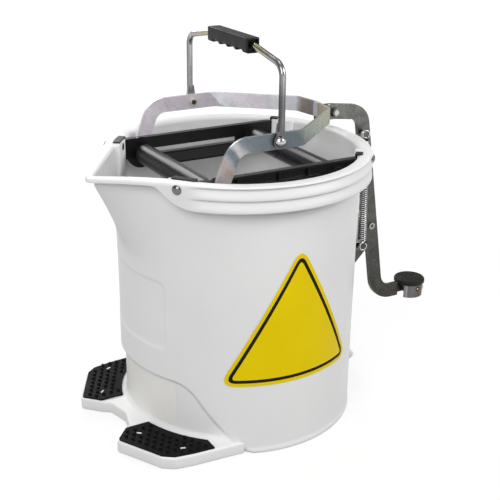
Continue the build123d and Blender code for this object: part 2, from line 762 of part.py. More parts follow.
def spring_path():
    # a close-wound tension spring with a hook at each end, its axis from stud to stud
    low = Vector(lower_stud_x, spring_y, lower_stud_height)
    high = Vector(upper_stud_x, spring_y, upper_stud_height)
    up = (high - low).normalized()
    frame = Plane(origin=low, x_dir=up.cross(Vector(0, 1, 0)) * -1, z_dir=up)
    length = (high - low).length
    a = spring_coil_radius
    slack = a - spring_wire_radius - stud_pin_radius - side_gap / 2
    low_eye = slack
    high_eye = length - slack
    start = low_eye + hook_rise
    end = high_eye - hook_rise
    turns = spring_turns + 0.5
    pitch = (end - start) / turns
    climb = pitch / (2 * math.pi * a)
    edges = []

    def place(p):
        return frame.from_local_coords(Vector(*p))

    def turn_to(p):
        return (place(p) - low).normalized()

    def arc(p0, t0, p1):
        edges.append(Edge.make_tangent_arc(place(p0), turn_to(t0), place(p1)))

    def biarc(p0, t0, p1, t1):
        v = [b - c for b, c in zip(p1, p0)]
        t0 = unit(t0)
        t1 = unit(t1)
        vt = sum(q * (r + s) for q, r, s in zip(v, t0, t1))
        spread = 2 * (1 - sum(q * r for q, r in zip(t0, t1)))
        vv = sum(q * q for q in v)
        d = (math.sqrt(vt * vt + spread * vv) - vt) / spread
        middle = [(q + d * r + s - d * u) / 2 for q, r, s, u in zip(p0, t0, p1, t1)]
        arc(p0, t0, middle)
        lead = [m - (q + d * r) for m, q, r in zip(middle, p0, t0)]
        arc(middle, lead, p1)

    def unit(t):
        size = math.sqrt(sum(q * q for q in t))
        return [q / size for q in t]

    def helix(k):
        angle = -math.pi / 2 + k * math.pi / 2
        height = start + pitch * k / 4
        at = (a * math.cos(angle), a * math.sin(angle), height)
        return at, (-math.sin(angle), math.cos(angle), climb)

    open_angle = math.radians(hook_open)
    tip = (a * math.cos(open_angle), 0, low_eye + a * math.sin(open_angle))
    run = (math.sin(open_angle), 0, -math.cos(open_angle))
    tail = tuple(p - q * 2 * spring_wire_radius for p, q in zip(tip, run))
    edges.append(Edge.make_line(place(tail), place(tip)))
    arc(tip, run, (0, 0, low_eye - a))
    arc((0, 0, low_eye - a), (-1, 0, 0), (-a, 0, low_eye))
    biarc((-a, 0, low_eye), (0, 0, 1), *helix(0))
    count = int(turns * 4)
    for k in range(count):
        biarc(*helix(k), *helix(k + 1))
    biarc(*helix(count), (-a, 0, high_eye), (0, 0, 1))
    arc((-a, 0, high_eye), (0, 0, 1), (0, 0, high_eye + a))
    tip = (a * math.cos(open_angle), 0, high_eye - a * math.sin(open_angle))
    arc((0, 0, high_eye + a), (1, 0, 0), tip)
    run = (-math.sin(open_angle), 0, -math.cos(open_angle))
    tail = tuple(p + q * 2 * spring_wire_radius for p, q in zip(tip, run))
    edges.append(Edge.make_line(place(tip), place(tail)))
    return edges


def self_gap(edges):
    # least room between two lengths of the wire that are not neighbours along it
    points = []
    along = 0.0
    for e in edges:
        for share in (0.0, 0.25, 0.5, 0.75):
            points.append((e @ share, along + share * e.length))
        along += e.length
    near = 3 * spring_coil_radius
    least = near
    for i, (p, s) in enumerate(points):
        for q, t in points[i + 1:i + 80]:
            if t - s > near:
                least = min(least, (p - q).length)
    return least - 2 * spring_wire_radius


def make_spring():
    edges = spring_path()
    print("spring self gap", round(self_gap(edges), 3))
    start = edges[0]
    section = Plane(start @ 0, z_dir=start % 0) * Circle(spring_wire_radius)
    return sweep(section, Wire(edges))


def make_cup():
    low = foot_height + cup_top - cup_height
    cup = Cylinder(cup_radius, cup_height) - Cylinder(cup_radius - cup_skin, cup_height)
    cup = Pos(pedal_x, 0, low + cup_height / 2) * cup
    far = cup_radius * 2
    cup -= block(pedal_x - far, pedal_x - cup_gap_back, -cup_gap_near, far, low - 1, low + cup_height + 1)
    return cup - pedal_screw_hole(pedal_screw_radius + run_fit)


def pedal_screw_hole(radius):
    rod = rod_x(radius, cup_radius - pedal_screw_length, cup_radius + 1, 0, foot_height)
    return Pos(pedal_x, 0, 0) * Rot(0, 0, pedal_screw_angle) * rod


def make_cap():
    top = foot_height + cup_top
    cap = Pos(pedal_x, 0, top + rim_gap + cap_height / 2) * Cylinder(cap_radius, cap_height)
    cap = fillet(cap.edges().group_by(Axis.Z)[-1], cap_round)
    stem = Cylinder(cup_radius - cup_skin - run_fit, cap_stem + rim_gap)
    cap += Pos(pedal_x, 0, top + rim_gap - cap_stem / 2) * stem
    half = lever / 2 + run_fit
    tall = tongue_width / 2 + run_fit
    toe_x = pedal_x - tongue_short + run_fit
    cap -= block(pedal_x - cup_radius, toe_x, -half, half, foot_height - tall, foot_height + tall)
    return cap - pedal_screw_hole(pedal_screw_radius + run_fit)


def make_pedal_screw():
    tip = cup_radius - pedal_screw_length + rim_gap
    screw = rod_x(pedal_screw_radius, tip, cup_radius + 0.5, 0, foot_height)
    head = dome(pedal_screw_radius * 1.7, pedal_screw_radius * 0.8)
    screw += Pos(cup_radius, 0, foot_height) * Rot(0, 90, 0) * head
    return Pos(pedal_x, 0, 0) * Rot(0, 0, pedal_screw_angle) * screw


def make_bail():
    leg_y = bail_y
    top = yoke_z + bail_height
    foot = yoke_z + eye_radius + bail_radius
    shoulder = top - bail_shoulder_drop
    crown = grip_half_length + bail_radius
    places = [
        (-leg_y, foot), (-leg_y, shoulder), (-crown, top),
        (crown, top), (leg_y, shoulder), (leg_y, foot),
    ]
    path = FilletPolyline(*[(bail_x, y, z) for y, z in places], radius=bail_bend_radius)
    rod = sweep(Plane(path @ 0, z_dir=path % 0) * Circle(bail_radius), path)
    neck = foot + eye_taper
    flat = make_face(Polyline((bail_x - eye_radius * 0.8, yoke_z), (bail_x + eye_radius * 0.8, yoke_z),
                              (bail_x + bail_radius, neck), (bail_x - bail_radius, neck), close=True))
    flat += Pos(bail_x, yoke_z) * Circle(eye_radius)
    plate = plate_xz(flat, eye_inner_y, eye_inner_y + eye)
    plate -= rod_y(bolt_radius + run_fit, 0, 2 * arm_y, bail_x, yoke_z)
    return rod + [plate, mirror(plate, Plane.XZ)]


def make_grip():
    z = yoke_z + bail_height
    low = z - grip_bottom
    half = grip_width / 2
    grip = block(bail_x - half, bail_x + half, -grip_half_length, grip_half_length, low, z + grip_top)
    grip = fillet(grip.edges().filter_by(Axis.Y), grip_round)
    pitch = 2 * grip_half_length / finger_lobes
    ball = (pitch**2 / 4 * 0.8 + finger_depth**2) / (2 * finger_depth)
    for i in range(finger_lobes - 1):
        y = (i - (finger_lobes - 2) / 2) * pitch
        grip -= Pos(bail_x, y, low + finger_depth - ball) * Rot(0, 90, 0) * Cylinder(ball, grip_width * 2)
    return grip - rod_y(bail_radius + run_fit, -grip_half_length, grip_half_length, bail_x, z)


def make_bail_bolts():
    head = bail_head_y
    bolt = rod_y(bolt_radius, arm_inner_y - bolt_nut, head + 1, bail_x, yoke_z)
    bolt += Pos(bail_x, head, yoke_z) * Rot(-90, 0, 0) * dome(bolt_head_radius, bolt_head)
    return both_sides(bolt)


def hex_nuts(radius, bore, y0, y1, x, z):
    return hex_y(radius, y0, y1, x, z) - rod_y(bore + run_fit, y0 - 1, y1 + 1, x, z)


def ring_y(radius, bore, y0, y1, x, z):
    return rod_y(radius, y0, y1, x, z) - rod_y(bore + run_fit, y0 - 1, y1 + 1, x, z)


def make_clevis_pin():
    half = ear_y + clevis_ear
    pin = rod_y(pin_radius, -half - nut_thickness, half + 0.5, pin_x, pin_z)
    return pin + rod_y(nut_radius, half + rim_gap / 2, half + pin_head, pin_x, pin_z)


os.makedirs("parts", exist_ok=True)
yoke_solid = make_yoke()
rail_solid = make_rail()
pad_solid = make_pad()
clevis_half = ear_y + clevis_ear
fixed_axle_half = rail_outer_y + nut_thickness
nodes = {
    "bucket": make_bucket(),
    "far_foot_pad": pad_solid,
    "near_foot_pad": mirror(pad_solid, Plane.XZ),
    "far_rail": rail_solid,
    "near_rail": mirror(rail_solid, Plane.XZ),
    "rail_rivets": make_rail_rivets(),
    "fixed_roller_tube": make_tube(fixed_roller_x),
    "fixed_roller_plugs": make_plugs(fixed_roller_x),
    "fixed_roller_axle": rod_y(axle_radius, -fixed_axle_half, fixed_axle_half, fixed_roller_x, axle_z),
    "fixed_axle_nuts": both_sides(
        hex_nuts(nut_radius, axle_radius, rail_outer_y + rim_gap, fixed_axle_half, fixed_roller_x, axle_z)
    ),
    "moving_roller_tube": make_tube(moving_roller_x),
    "moving_roller_plugs": make_plugs(moving_roller_x),
    "moving_roller_axle": rod_y(axle_radius, -axle_half, axle_half, moving_roller_x, axle_z),
    "guide_washers": both_sides(
        ring_y(guide_radius, axle_radius, guide_inner_y, guide_inner_y + washer, moving_roller_x, axle_z)
    ),
    "axle_washers": both_sides(
        ring_y(
            washer_radius, axle_radius, arm_outer_y + slide_gap, arm_outer_y + washer,
            moving_roller_x, axle_z,
        )
    ),
    "axle_lock_nuts": both_sides(
        hex_nuts(nut_radius, axle_radius, arm_outer_y + washer + rim_gap, axle_half, moving_roller_x, axle_z)
    ),
    "yoke": yoke_solid,
    "yoke_clevis": make_clevis(yoke_solid),
    "clevis_pin": make_clevis_pin(),
    "clevis_pin_nut": hex_nuts(
        nut_radius, pin_radius, -clevis_half - nut_thickness, -clevis_half - rim_gap, pin_x, pin_z
    ),
    "foot_lever": make_lever(),
    "lever_pivot_pin": make_pivot_pin(),
    "rear_bracket": make_bracket(),
    "bracket_rivets": make_bracket_rivets(),
    "upper_spring_stud": make_spring_stud(upper_stud_x, upper_stud_height, lever / 2),
    "lower_spring_stud": make_spring_stud(lower_stud_x, lower_stud_height, -ear_y),
    "return_spring": make_spring(),
    "pedal_cup": make_cup(),
    "pedal_cap": make_cap(),
    "pedal_screw": make_pedal_screw(),
    "bail_handle": make_bail(),
    "handle_grip": make_grip(),
    "bail_bolts": make_bail_bolts(),
    "bail_nuts": both_sides(
        hex_nuts(
            bolt_nut_radius, bolt_radius, arm_inner_y - bolt_nut, arm_inner_y - rim_gap / 2,
            bail_x, yoke_z,
        )
    ),
}
for name, shape in nodes.items():
    export_step(shape, f"parts/{name}.step")
    box = shape.bounding_box()
    low = [round(v, 2) for v in box.min]
    high = [round(v, 2) for v in box.max]
    print(name, len(shape.solids()), shape.is_valid, low, high)
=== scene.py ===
import json
import math
import bmesh
import bpy
from mathutils import Matrix, Vector


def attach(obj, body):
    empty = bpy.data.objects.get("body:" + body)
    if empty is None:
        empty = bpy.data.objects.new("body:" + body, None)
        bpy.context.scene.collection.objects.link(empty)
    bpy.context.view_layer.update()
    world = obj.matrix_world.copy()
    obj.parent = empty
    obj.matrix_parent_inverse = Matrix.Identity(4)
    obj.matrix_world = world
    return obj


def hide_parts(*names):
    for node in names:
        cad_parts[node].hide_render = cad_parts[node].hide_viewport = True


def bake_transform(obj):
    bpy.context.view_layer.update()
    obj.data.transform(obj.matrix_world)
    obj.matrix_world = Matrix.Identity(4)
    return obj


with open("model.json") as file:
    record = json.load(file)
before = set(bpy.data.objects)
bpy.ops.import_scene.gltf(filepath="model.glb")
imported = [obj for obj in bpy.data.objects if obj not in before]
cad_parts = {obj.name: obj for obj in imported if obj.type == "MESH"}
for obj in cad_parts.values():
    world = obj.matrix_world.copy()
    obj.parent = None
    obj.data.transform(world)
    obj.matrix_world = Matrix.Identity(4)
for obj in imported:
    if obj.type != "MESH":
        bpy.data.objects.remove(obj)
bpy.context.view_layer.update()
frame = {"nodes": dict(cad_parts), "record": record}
nodes = frame["nodes"]
slotOf = {part["node"]: part["material_slot"] for part in frame["record"]["subparts"]}
mm = 0.001
print("frame loaded with", len(nodes), "CAD nodes")

# camera, set where the photo was taken from
cameraSet = {
    "focal": 73.77,             # mm, on a 36 mm sensor
    "distance": 1.0597,         # m, from the bucket's axis
    "height": 0.59962,
    "turn": -29.506,            # degrees round the bucket
    "pitch": 0.3766, "pan": 0.0141, "roll": 0.0144,   # radians
}


def makeCamera(s):
    forward = Vector((math.sin(s["pan"]) * math.cos(s["pitch"]),
                      math.cos(s["pan"]) * math.cos(s["pitch"]), -math.sin(s["pitch"])))
    level = Vector((math.cos(s["pan"]), -math.sin(s["pan"]), 0))
    up = level.cross(forward)
    right = level * math.cos(s["roll"]) + up * math.sin(s["roll"])
    up = up * math.cos(s["roll"]) - level * math.sin(s["roll"])
    turn = Matrix.Rotation(math.radians(s["turn"]), 4, "Z")
    pose = Matrix((right, up, -forward)).transposed().to_4x4()
    pose.translation = Vector((0, -s["distance"], s["height"]))
    data = bpy.data.cameras.new("photoCamera")
    data.lens = s["focal"]
    data.sensor_width = 36
    data.clip_end = 50
    camera = bpy.data.objects.new("photoCamera", data)
    camera.matrix_world = turn @ pose
    bpy.context.collection.objects.link(camera)
    bpy.context.scene.camera = camera


makeCamera(cameraSet)
print("camera placed")


# node helpers for the materials
def addNode(tree, kind, links=None, **settings):
    node = tree.nodes.new("ShaderNode" + kind)
    for key, value in settings.items():
        setattr(node, key, value)
    for socket, source in (links or {}).items():
        if isinstance(source, bpy.types.NodeSocket):
            tree.links.new(source, node.inputs[socket])
        else:
            node.inputs[socket].default_value = source
    return node


def addMath(tree, kind, first, second=0.0):
    return addNode(tree, "Math", {0: first, 1: second}, operation=kind).outputs[0]


def addRamp(tree, factor, stops):
    ramp = addNode(tree, "ValToRGB", {"Fac": factor})
    points = ramp.color_ramp.elements
    while len(points) < len(stops):
        points.new(0.5)
    for point, (place, colour) in zip(points, stops):
        point.position = place
        point.color = (*colour, 1)
    return ramp.outputs["Color"]


def addVector(tree, kind, first, second=(0, 0, 0), out="Value"):
    return addNode(tree, "VectorMath", {0: first, 1: second}, operation=kind).outputs[out]


def addSpan(tree, value, low, high, toLow=0.0, toHigh=1.0):
    return addNode(tree, "MapRange", {"Value": value, "From Min": low, "From Max": high,
                                      "To Min": toLow, "To Max": toHigh}).outputs["Result"]


def rampAlong(tree, value, stops):
    # stops stand at places in mm, the value is in metres
    low, high = stops[0][0], stops[-1][0]
    return addRamp(tree, addSpan(tree, value, low * mm, high * mm),
                   [((at - low) / (high - low), colour) for at, colour in stops])


def grey(value):
    return (value, value, value)


def splitPlace(tree, place):
    parts = addNode(tree, "SeparateXYZ", {"Vector": place}).outputs
    return parts["X"], parts["Y"], parts["Z"]


def startMaterial(name, **sockets):
    mat = bpy.data.materials.new(name)
    mat.use_nodes = True
    tree = mat.node_tree
    shader = tree.nodes["Principled BSDF"]
    for socket, value in sockets.items():
        shader.inputs[socket].default_value = value
    place = addNode(tree, "TexCoord").outputs["Object"]
    return mat, tree, shader, place


def addNoise(tree, place, scale, detail=3.0, rough=0.5, stretch=None, distort=0.0):
    if stretch:
        place = addNode(tree, "Mapping", {"Vector": place, "Scale": stretch}).outputs["Vector"]
    return addNode(tree, "TexNoise", {"Vector": place, "Scale": scale, "Detail": detail,
                                      "Roughness": rough, "Distortion": distort}).outputs["Fac"]


def softEdges(tree, shader, radius, bumps):
    normal = addNode(tree, "Bevel", {"Radius": radius}, samples=6).outputs["Normal"]
    for height, strength, distance in bumps:
        normal = addNode(tree, "Bump", {"Height": height, "Strength": strength,
                                        "Distance": distance, "Normal": normal}).outputs["Normal"]
    tree.links.new(normal, shader.inputs["Normal"])


def edgeMask(tree, radius, low=0.9, high=0.995):
    # 1 on edges, 0 on flats, from the angle between the true and the rounded normal
    rounded = addNode(tree, "Bevel", {"Radius": radius}, samples=6).outputs["Normal"]
    true = addNode(tree, "NewGeometry").outputs["Normal"]
    return addSpan(tree, addVector(tree, "DOT_PRODUCT", rounded, true), low, high, 1.0, 0.0)


def mixColour(tree, factor, first, second, blend="MIX"):
    mix = addNode(tree, "Mix", data_type="RGBA", blend_type=blend)
    for index, source in ((0, factor), (6, first), (7, second)):
        if isinstance(source, bpy.types.NodeSocket):
            tree.links.new(source, mix.inputs[index])
        else:
            mix.inputs[index].default_value = source if index == 0 else (*source, 1)
    return mix.outputs[2]


def roughFrom(tree, shader, noise, low, high, top=0.75):
    rough = addRamp(tree, noise, [(0.3, grey(low)), (top, grey(high))])
    tree.links.new(rough, shader.inputs["Roughness"])


# moulded plastics and rubbers, and the noise sizes that they share
polymerNoise = {"cloud": 9, "smear": 34, "swell": 14}
polymerSet = {
    "white_plastic": {"dark": grey(0.82), "light": (0.86, 0.86, 0.855), "rough": (0.36, 0.48), "gloss": 0.45,
                      "edge": 0.8, "grain": 0.05, "grainScale": 700},
    "black_plastic": {"dark": grey(0.006), "light": grey(0.009), "rough": (0.27, 0.32), "gloss": 0.36,
                      "edge": 0.5, "grain": 0.05, "grainScale": 1500, "wave": 0.015},
    "black_rubber": {"dark": grey(0.004), "light": (0.008, 0.008, 0.009), "rough": (0.5, 0.66), "gloss": 0.10,
                     "edge": 0.4, "grain": 0.22, "grainScale": 1300},
    "roller_grey": {"dark": (0.008, 0.0075, 0.0085), "light": (0.011, 0.010, 0.0115), "rough": (0.27, 0.30),
                    "gloss": 0.34, "edge": 0.6, "grain": 0.015, "grainScale": 1200, "wave": 0.0},
    "nylon": {"dark": grey(0.012), "light": grey(0.020), "rough": (0.36, 0.5), "gloss": 0.4,
              "edge": 0.4, "grain": 0.10, "grainScale": 1200},
    "gripBlack": {"dark": grey(0.007), "light": grey(0.011), "rough": (0.42, 0.56), "gloss": 0.24,
                  "edge": 0.5, "grain": 0.14, "grainScale": 1700},
    "capRubber": {"dark": (0.012, 0.012, 0.011), "light": (0.022, 0.022, 0.020), "rough": (0.5, 0.64),
                  "gloss": 0.16, "edge": 0.4, "grain": 0.2, "grainScale": 1400},
}


def polymerFinish(name, s):
    mat, tree, shader, place = startMaterial(name, **{"Specular IOR Level": s["gloss"]})
    cloud = addNoise(tree, place, polymerNoise["cloud"], 4, 0.55)
    tree.links.new(addRamp(tree, cloud, [(0.3, s["dark"]), (0.7, s["light"])]), shader.inputs["Base Color"])
    roughFrom(tree, shader, addNoise(tree, place, polymerNoise["smear"], 5, 0.6), *s["rough"])
    fine = addNoise(tree, place, s["grainScale"], 3, 0.6)
    swell = addNoise(tree, place, polymerNoise["swell"], 2, 0.4)
    softEdges(tree, shader, s["edge"] * mm, [(swell, s.get("wave", 0.05), 0.002), (fine, s["grain"], 0.0004)])
    return mat


# plated and dull steels: a tint that goes by the place on the piece, specks, brushing and bright edges
def steelFinish(name, tint, s):
    mat, tree, shader, place = startMaterial(name, Metallic=s.get("metal", 1.0))
    colour = tint(tree, place)
    cloud = addNoise(tree, place, s.get("cloudScale", 30), 4, 0.6, distort=0.8)
    shade = s.get("cloud", 0.25)
    clouded = addRamp(tree, cloud, [(0.3, grey(1 - shade)), (0.7, grey(1.0))])
    colour = mixColour(tree, 1.0, colour, clouded, "MULTIPLY")
    grit = addNoise(tree, place, s.get("speckScale", 700), 2, 0.6)
    speck = addRamp(tree, grit, [(0.62, grey(0.0)), (0.74, grey(s.get("speck", 0.35)))])
    colour = mixColour(tree, speck, colour, s.get("speckTone", (0.62, 0.64, 0.66)))
    edge = s.get("edge", 0.4) * mm
    worn = addMath(tree, "MULTIPLY", edgeMask(tree, edge), s.get("wear", 0.7))
    colour = mixColour(tree, worn, colour, s.get("edgeTone", (0.66, 0.66, 0.66)))
    tree.links.new(colour, shader.inputs["Base Color"])
    roughFrom(tree, shader, addNoise(tree, place, 60, 5, 0.65), *s["rough"])
    lines = addNoise(tree, place, 90, 4, 0.7, stretch=s.get("brushWay", (1, 1, 14)))
    brush = s.get("brush", 0.08)
    softEdges(tree, shader, edge, [(lines, brush, 0.0003), (grit, brush * 0.6, 0.0002)])
    return mat


def evenTint(dark, light, scale=40):
    def tint(tree, place):
        return addRamp(tree, addNoise(tree, place, scale, 3, 0.55), [(0.3, dark), (0.7, light)])
    return tint


# yoke strip: passivated zinc, its hue changing along the strip (mm along each arm, then across the nose), with
# painted light in it: the far arm painted bright and the near arm dark as painted reflection, a painted highlight
# on the near bend and a painted highlight band across the nose's fold
yokeSet = {
    "nearArm": [(-104, (0.46, 0.41, 0.42)), (-92, (0.52, 0.48, 0.50)), (-84, (0.50, 0.40, 0.33)),
                (-77, (0.42, 0.42, 0.44)), (-71, (0.17, 0.21, 0.245)), (-65, (0.17, 0.21, 0.24)),
                (-59, (0.62, 0.60, 0.60)), (-54, (0.56, 0.56, 0.57)),
                (-46, (0.22, 0.25, 0.28)), (-30, (0.15, 0.185, 0.21)),
                (0, (0.135, 0.170, 0.195)), (20.5, (0.125, 0.165, 0.182)), (22.5, (0.17, 0.19, 0.175)),
                (50, (0.26, 0.31, 0.255)), (76, (0.38, 0.40, 0.30)), (96, (0.48, 0.46, 0.35))],
    "farArm": [(-104, (0.90, 0.83, 0.91)), (-84, (0.86, 0.78, 0.87)), (-62, (0.95, 0.88, 0.96)),
               (-40, (0.82, 0.74, 0.82)), (0, (0.72, 0.65, 0.73)), (20.5, (0.60, 0.56, 0.62)),
               (22.5, (0.93, 0.97, 1.0)), (36, (0.97, 0.93, 1.0)), (56, (1.0, 0.90, 1.0)),
               (76, (0.95, 0.97, 1.0)), (92, (0.90, 0.91, 1.0))],
    "nose": [(-34, (0.50, 0.44, 0.31)), (-5, (0.46, 0.40, 0.28)), (-3.5, (0.66, 0.67, 0.76)),
             (3, (0.66, 0.67, 0.76)), (4.5, (0.30, 0.25, 0.24)), (20, (0.34, 0.28, 0.255)),
             (34, (0.33, 0.29, 0.27))],
    "height": 0.3295, "drop": 0.9, "wander": 0.012, "noseStart": (0.0930, 0.0950),     # metres
    "finish": {"metal": 0.4, "rough": (0.26, 0.40), "cloud": 0.20, "cloudScale": 120, "speck": 0.3,
               "speckScale": 1100, "wear": 0.75, "edgeTone": (0.72, 0.71, 0.68), "brush": 0.06},
}


def yokeHueAndPaintedSheen(tree, place):
    x, y, z = splitPlace(tree, place)
    s = yokeSet
    drop = addMath(tree, "MULTIPLY", addMath(tree, "SUBTRACT", z, s["height"]), s["drop"])
    wander = addMath(tree, "MULTIPLY", addMath(tree, "SUBTRACT", addNoise(tree, place, 70, 3), 0.5), s["wander"])
    # ramps of plating hue that also hold the painted reflection of each arm and the painted highlights
    along = addMath(tree, "ADD", addMath(tree, "ADD", x, wander), drop)
    far = rampAlong(tree, along, s["farArm"])
    near = rampAlong(tree, along, s["nearArm"])
    arms = mixColour(tree, addSpan(tree, y, -0.001, 0.001), near, far)
    nose = rampAlong(tree, y, s["nose"])
    return mixColour(tree, addSpan(tree, x, *s["noseStart"]), arms, nose)


# bail rod: drawn steel with painted reflection stripes along its length, a painted highlight on the near bend,
# the near leg painted darker than the far leg as shade, and straw coloured beside the grip
bailSet = {
    # across each rod: multipliers that paint the reflection stripes, brightest just off the middle
    "across": [(-3.4, grey(0.42)), (-2.0, grey(0.55)), (-0.9, grey(0.85)), (0.2, grey(0.8)), (0.9, grey(1.75)),
               (1.7, grey(1.15)), (2.6, grey(0.75)), (3.4, grey(0.9))],
    # near leg painted dark as shade, near bend painted bright as a highlight
    "nearLegShaded": (0.155, 0.155, 0.16), "nearBendHighlight": (0.46, 0.46, 0.47), "farLeg": (0.42, 0.405, 0.425),
    "straw": (0.44, 0.40, 0.26),
    # places in metres: where each tint fades in, the legs' distance from the middle, and the direction of the
    # painted reflection stripes
    "bendRise": (0.372, 0.402), "strawReach": (0.083, 0.062), "strawRise": (0.395, 0.408),
    "legTop": (0.410, 0.400), "legFoot": (0.340, 0.350), "legReach": 0.0983, "behind": 0.0067,
    "stripeWay": (0.87, 0.49),
    "finish": {"rough": (0.16, 0.28), "cloud": 0.2, "cloudScale": 60, "speck": 0.2, "wear": 0.0,
               "brush": 0.05, "brushWay": (1, 1, 0.1)},
}


def bailTintAndPaintedLight(tree, place):
    s = bailSet
    x, y, z = splitPlace(tree, place)
    near = mixColour(tree, addSpan(tree, z, *s["bendRise"]), s["nearLegShaded"], s["nearBendHighlight"])
    legs = mixColour(tree, addSpan(tree, y, -0.03, 0.03), near, s["farLeg"])
    reach = addMath(tree, "ABSOLUTE", y)
    straw = addMath(tree, "MULTIPLY", addSpan(tree, reach, *s["strawReach"]), addSpan(tree, z, *s["strawRise"]))
    base = mixColour(tree, straw, legs, s["straw"])
    # painted reflection stripes run along the legs, laid out across each rod
    along, aside = s["stripeWay"]
    side = addMath(tree, "SUBTRACT", reach, s["legReach"])
    nearSide = addSpan(tree, y, 0.001, -0.001)
    way = addMath(tree, "SUBTRACT", addMath(tree, "MULTIPLY", nearSide, 2 * aside), aside)
    turned = addMath(tree, "MULTIPLY", side, way)
    across = addMath(tree, "ADD", addMath(tree, "MULTIPLY", addMath(tree, "ADD", x, s["behind"]), along), turned)
    reflectionStripes = rampAlong(tree, across, s["across"])
    onLegs = addMath(tree, "MULTIPLY", addSpan(tree, z, *s["legTop"]), addSpan(tree, z, *s["legFoot"]))
    return mixColour(tree, onLegs, base, mixColour(tree, 1.0, base, reflectionStripes, "MULTIPLY"))


# lever and bracket: dull plate with mill marks, darker towards the foot
leverSet = {
    "byHeight": [(76, (0.070, 0.068, 0.060)), (130, (0.085, 0.087, 0.080)), (200, (0.125, 0.128, 0.118)),
                 (285, (0.155, 0.160, 0.148)), (318, (0.19, 0.195, 0.182)), (335, (0.235, 0.245, 0.225))],
    "rust": (0.13, 0.075, 0.062), "rustFade": (0.150, 0.090),
    "finish": {"rough": (0.30, 0.46), "cloud": 0.42, "cloudScale": 85, "speck": 0.35, "speckScale": 520,
               "speckTone": (0.36, 0.37, 0.35), "wear": 0.6, "edgeTone": (0.36, 0.36, 0.34), "brush": 0.16,
               "brushWay": (3, 1, 14)},
}


def leverTint(tree, place):
    z = splitPlace(tree, place)[2]
    base = rampAlong(tree, z, leverSet["byHeight"])
    stain = addRamp(tree, addNoise(tree, place, 36, 4, 0.6), [(0.52, grey(0.0)), (0.7, grey(0.55))])
    low = addMath(tree, "MULTIPLY", stain, addSpan(tree, z, *leverSet["rustFade"]))
    return mixColour(tree, low, base, leverSet["rust"])


# pedal cup: rolled strip with heat tints across it and a cross pin in a hole painted dark as shade
cupSet = {
    "across": [(-17, (0.25, 0.22, 0.25)), (-12, (0.31, 0.28, 0.31)), (-4.5, (0.34, 0.31, 0.34)),
               (-3.2, (0.15, 0.145, 0.155)), (3, (0.17, 0.168, 0.178)), (7.5, (0.15, 0.135, 0.12)),
               (11, (0.16, 0.095, 0.05)), (14.5, (0.15, 0.085, 0.035)), (17, (0.13, 0.13, 0.06))],
    "middle": 0.2495, "way": (0.87, 0.49), "hole": (0.2501, -0.0170, 0.0875),       # metres
    "holeShadeEdge": (0.0024, 0.0029), "pinEdge": (0.0009, 0.0013),
    # dark is the painted shade of the hole round the pin
    "dark": (0.012, 0.012, 0.013), "pin": (0.72, 0.72, 0.70),
    "finish": {"rough": (0.26, 0.38), "cloud": 0.2, "speck": 0.2, "wear": 0.5, "edgeTone": (0.5, 0.5, 0.48)},
}


def cupTint(tree, place):
    s = cupSet
    x, y, z = splitPlace(tree, place)
    along = addMath(tree, "MULTIPLY", addMath(tree, "SUBTRACT", x, s["middle"]), s["way"][0])
    across = addMath(tree, "SUBTRACT", along, addMath(tree, "MULTIPLY", y, s["way"][1]))
    away = addVector(tree, "DISTANCE", place, s["hole"])
    withShadedHole = mixColour(tree, addSpan(tree, away, *s["holeShadeEdge"]), s["dark"], rampAlong(tree, across, s["across"]))
    return mixColour(tree, addSpan(tree, away, *s["pinEdge"]), s["pin"], withShadedHole)


# rail rivets: heads outside the rim band painted dark as a painted dark reflection, bright tails inside
rivetSet = {"wall": (0.129, 0.140), "tail": (0.6, 0.6, 0.6), "head": (0.20, 0.20, 0.205)}


def rivetReflectionTint(tree, place):
    flat = addVector(tree, "MULTIPLY", place, (1, 1, 0), "Vector")
    return mixColour(tree, addSpan(tree, addVector(tree, "LENGTH", flat), *rivetSet["wall"]),
                     rivetSet["tail"], rivetSet["head"])


# pivot pin: the middle of the head is dull, its edge is painted bright as a highlight ring
# worn holds the dull middle colour, bright the painted highlight ring
pinSet = {"axis": (0.1832, 0.0, 0.1784), "edge": (0.0021, 0.0027),
          "worn": (0.10, 0.10, 0.095), "bright": (0.52, 0.52, 0.51)}


def pinPaintedHighlight(tree, place):
    flat = addVector(tree, "MULTIPLY", place, (1, 0, 1), "Vector")
    away = addVector(tree, "DISTANCE", flat, pinSet["axis"])
    return mixColour(tree, addSpan(tree, away, *pinSet["edge"]), pinSet["worn"], pinSet["bright"])


# rear bracket: dark lower down, its upper part painted bright to stand in for the lit wall seen between the
# spring coils
bracketSet = {"dark": (0.085, 0.085, 0.078), "bright": (0.62, 0.62, 0.61), "rise": (0.150, 0.185)}


def bracketPaintedBright(tree, place):
    rise = addSpan(tree, splitPlace(tree, place)[2], *bracketSet["rise"])
    return mixColour(tree, rise, bracketSet["dark"], bracketSet["bright"])


plated = {"rough": (0.16, 0.28), "cloud": 0.25, "cloudScale": 120, "speck": 0.25, "wear": 0.5, "brush": 0.04}
zincFasteners = steelFinish("fastenerZinc", evenTint((0.40, 0.40, 0.42), (0.52, 0.51, 0.50)), plated)
brightBolts = steelFinish("boltBright", evenTint(grey(0.50), (0.60, 0.60, 0.59)),
                          {"rough": (0.10, 0.18), "cloud": 0.12, "speck": 0.1, "wear": 0.0, "brush": 0.02})
rivetsDarkReflection = steelFinish("rivetPaintedReflection", rivetReflectionTint,
                         {"rough": (0.12, 0.20), "cloud": 0.2, "speck": 0.1, "wear": 0.0, "brush": 0.02})
leverSteel = steelFinish("leverSteel", leverTint, leverSet["finish"])
# dark wire colour painted on the inward side of the coils as shade between the turns
springGapShade = steelFinish("springGapShade", evenTint(grey(0.05), grey(0.08)), plated)
springSteel = steelFinish("springSteel", evenTint(grey(0.50), (0.66, 0.66, 0.65)),
                          {"rough": (0.16, 0.26), "cloud": 0.15, "speck": 0.1, "wear": 0.0, "brush": 0.02})

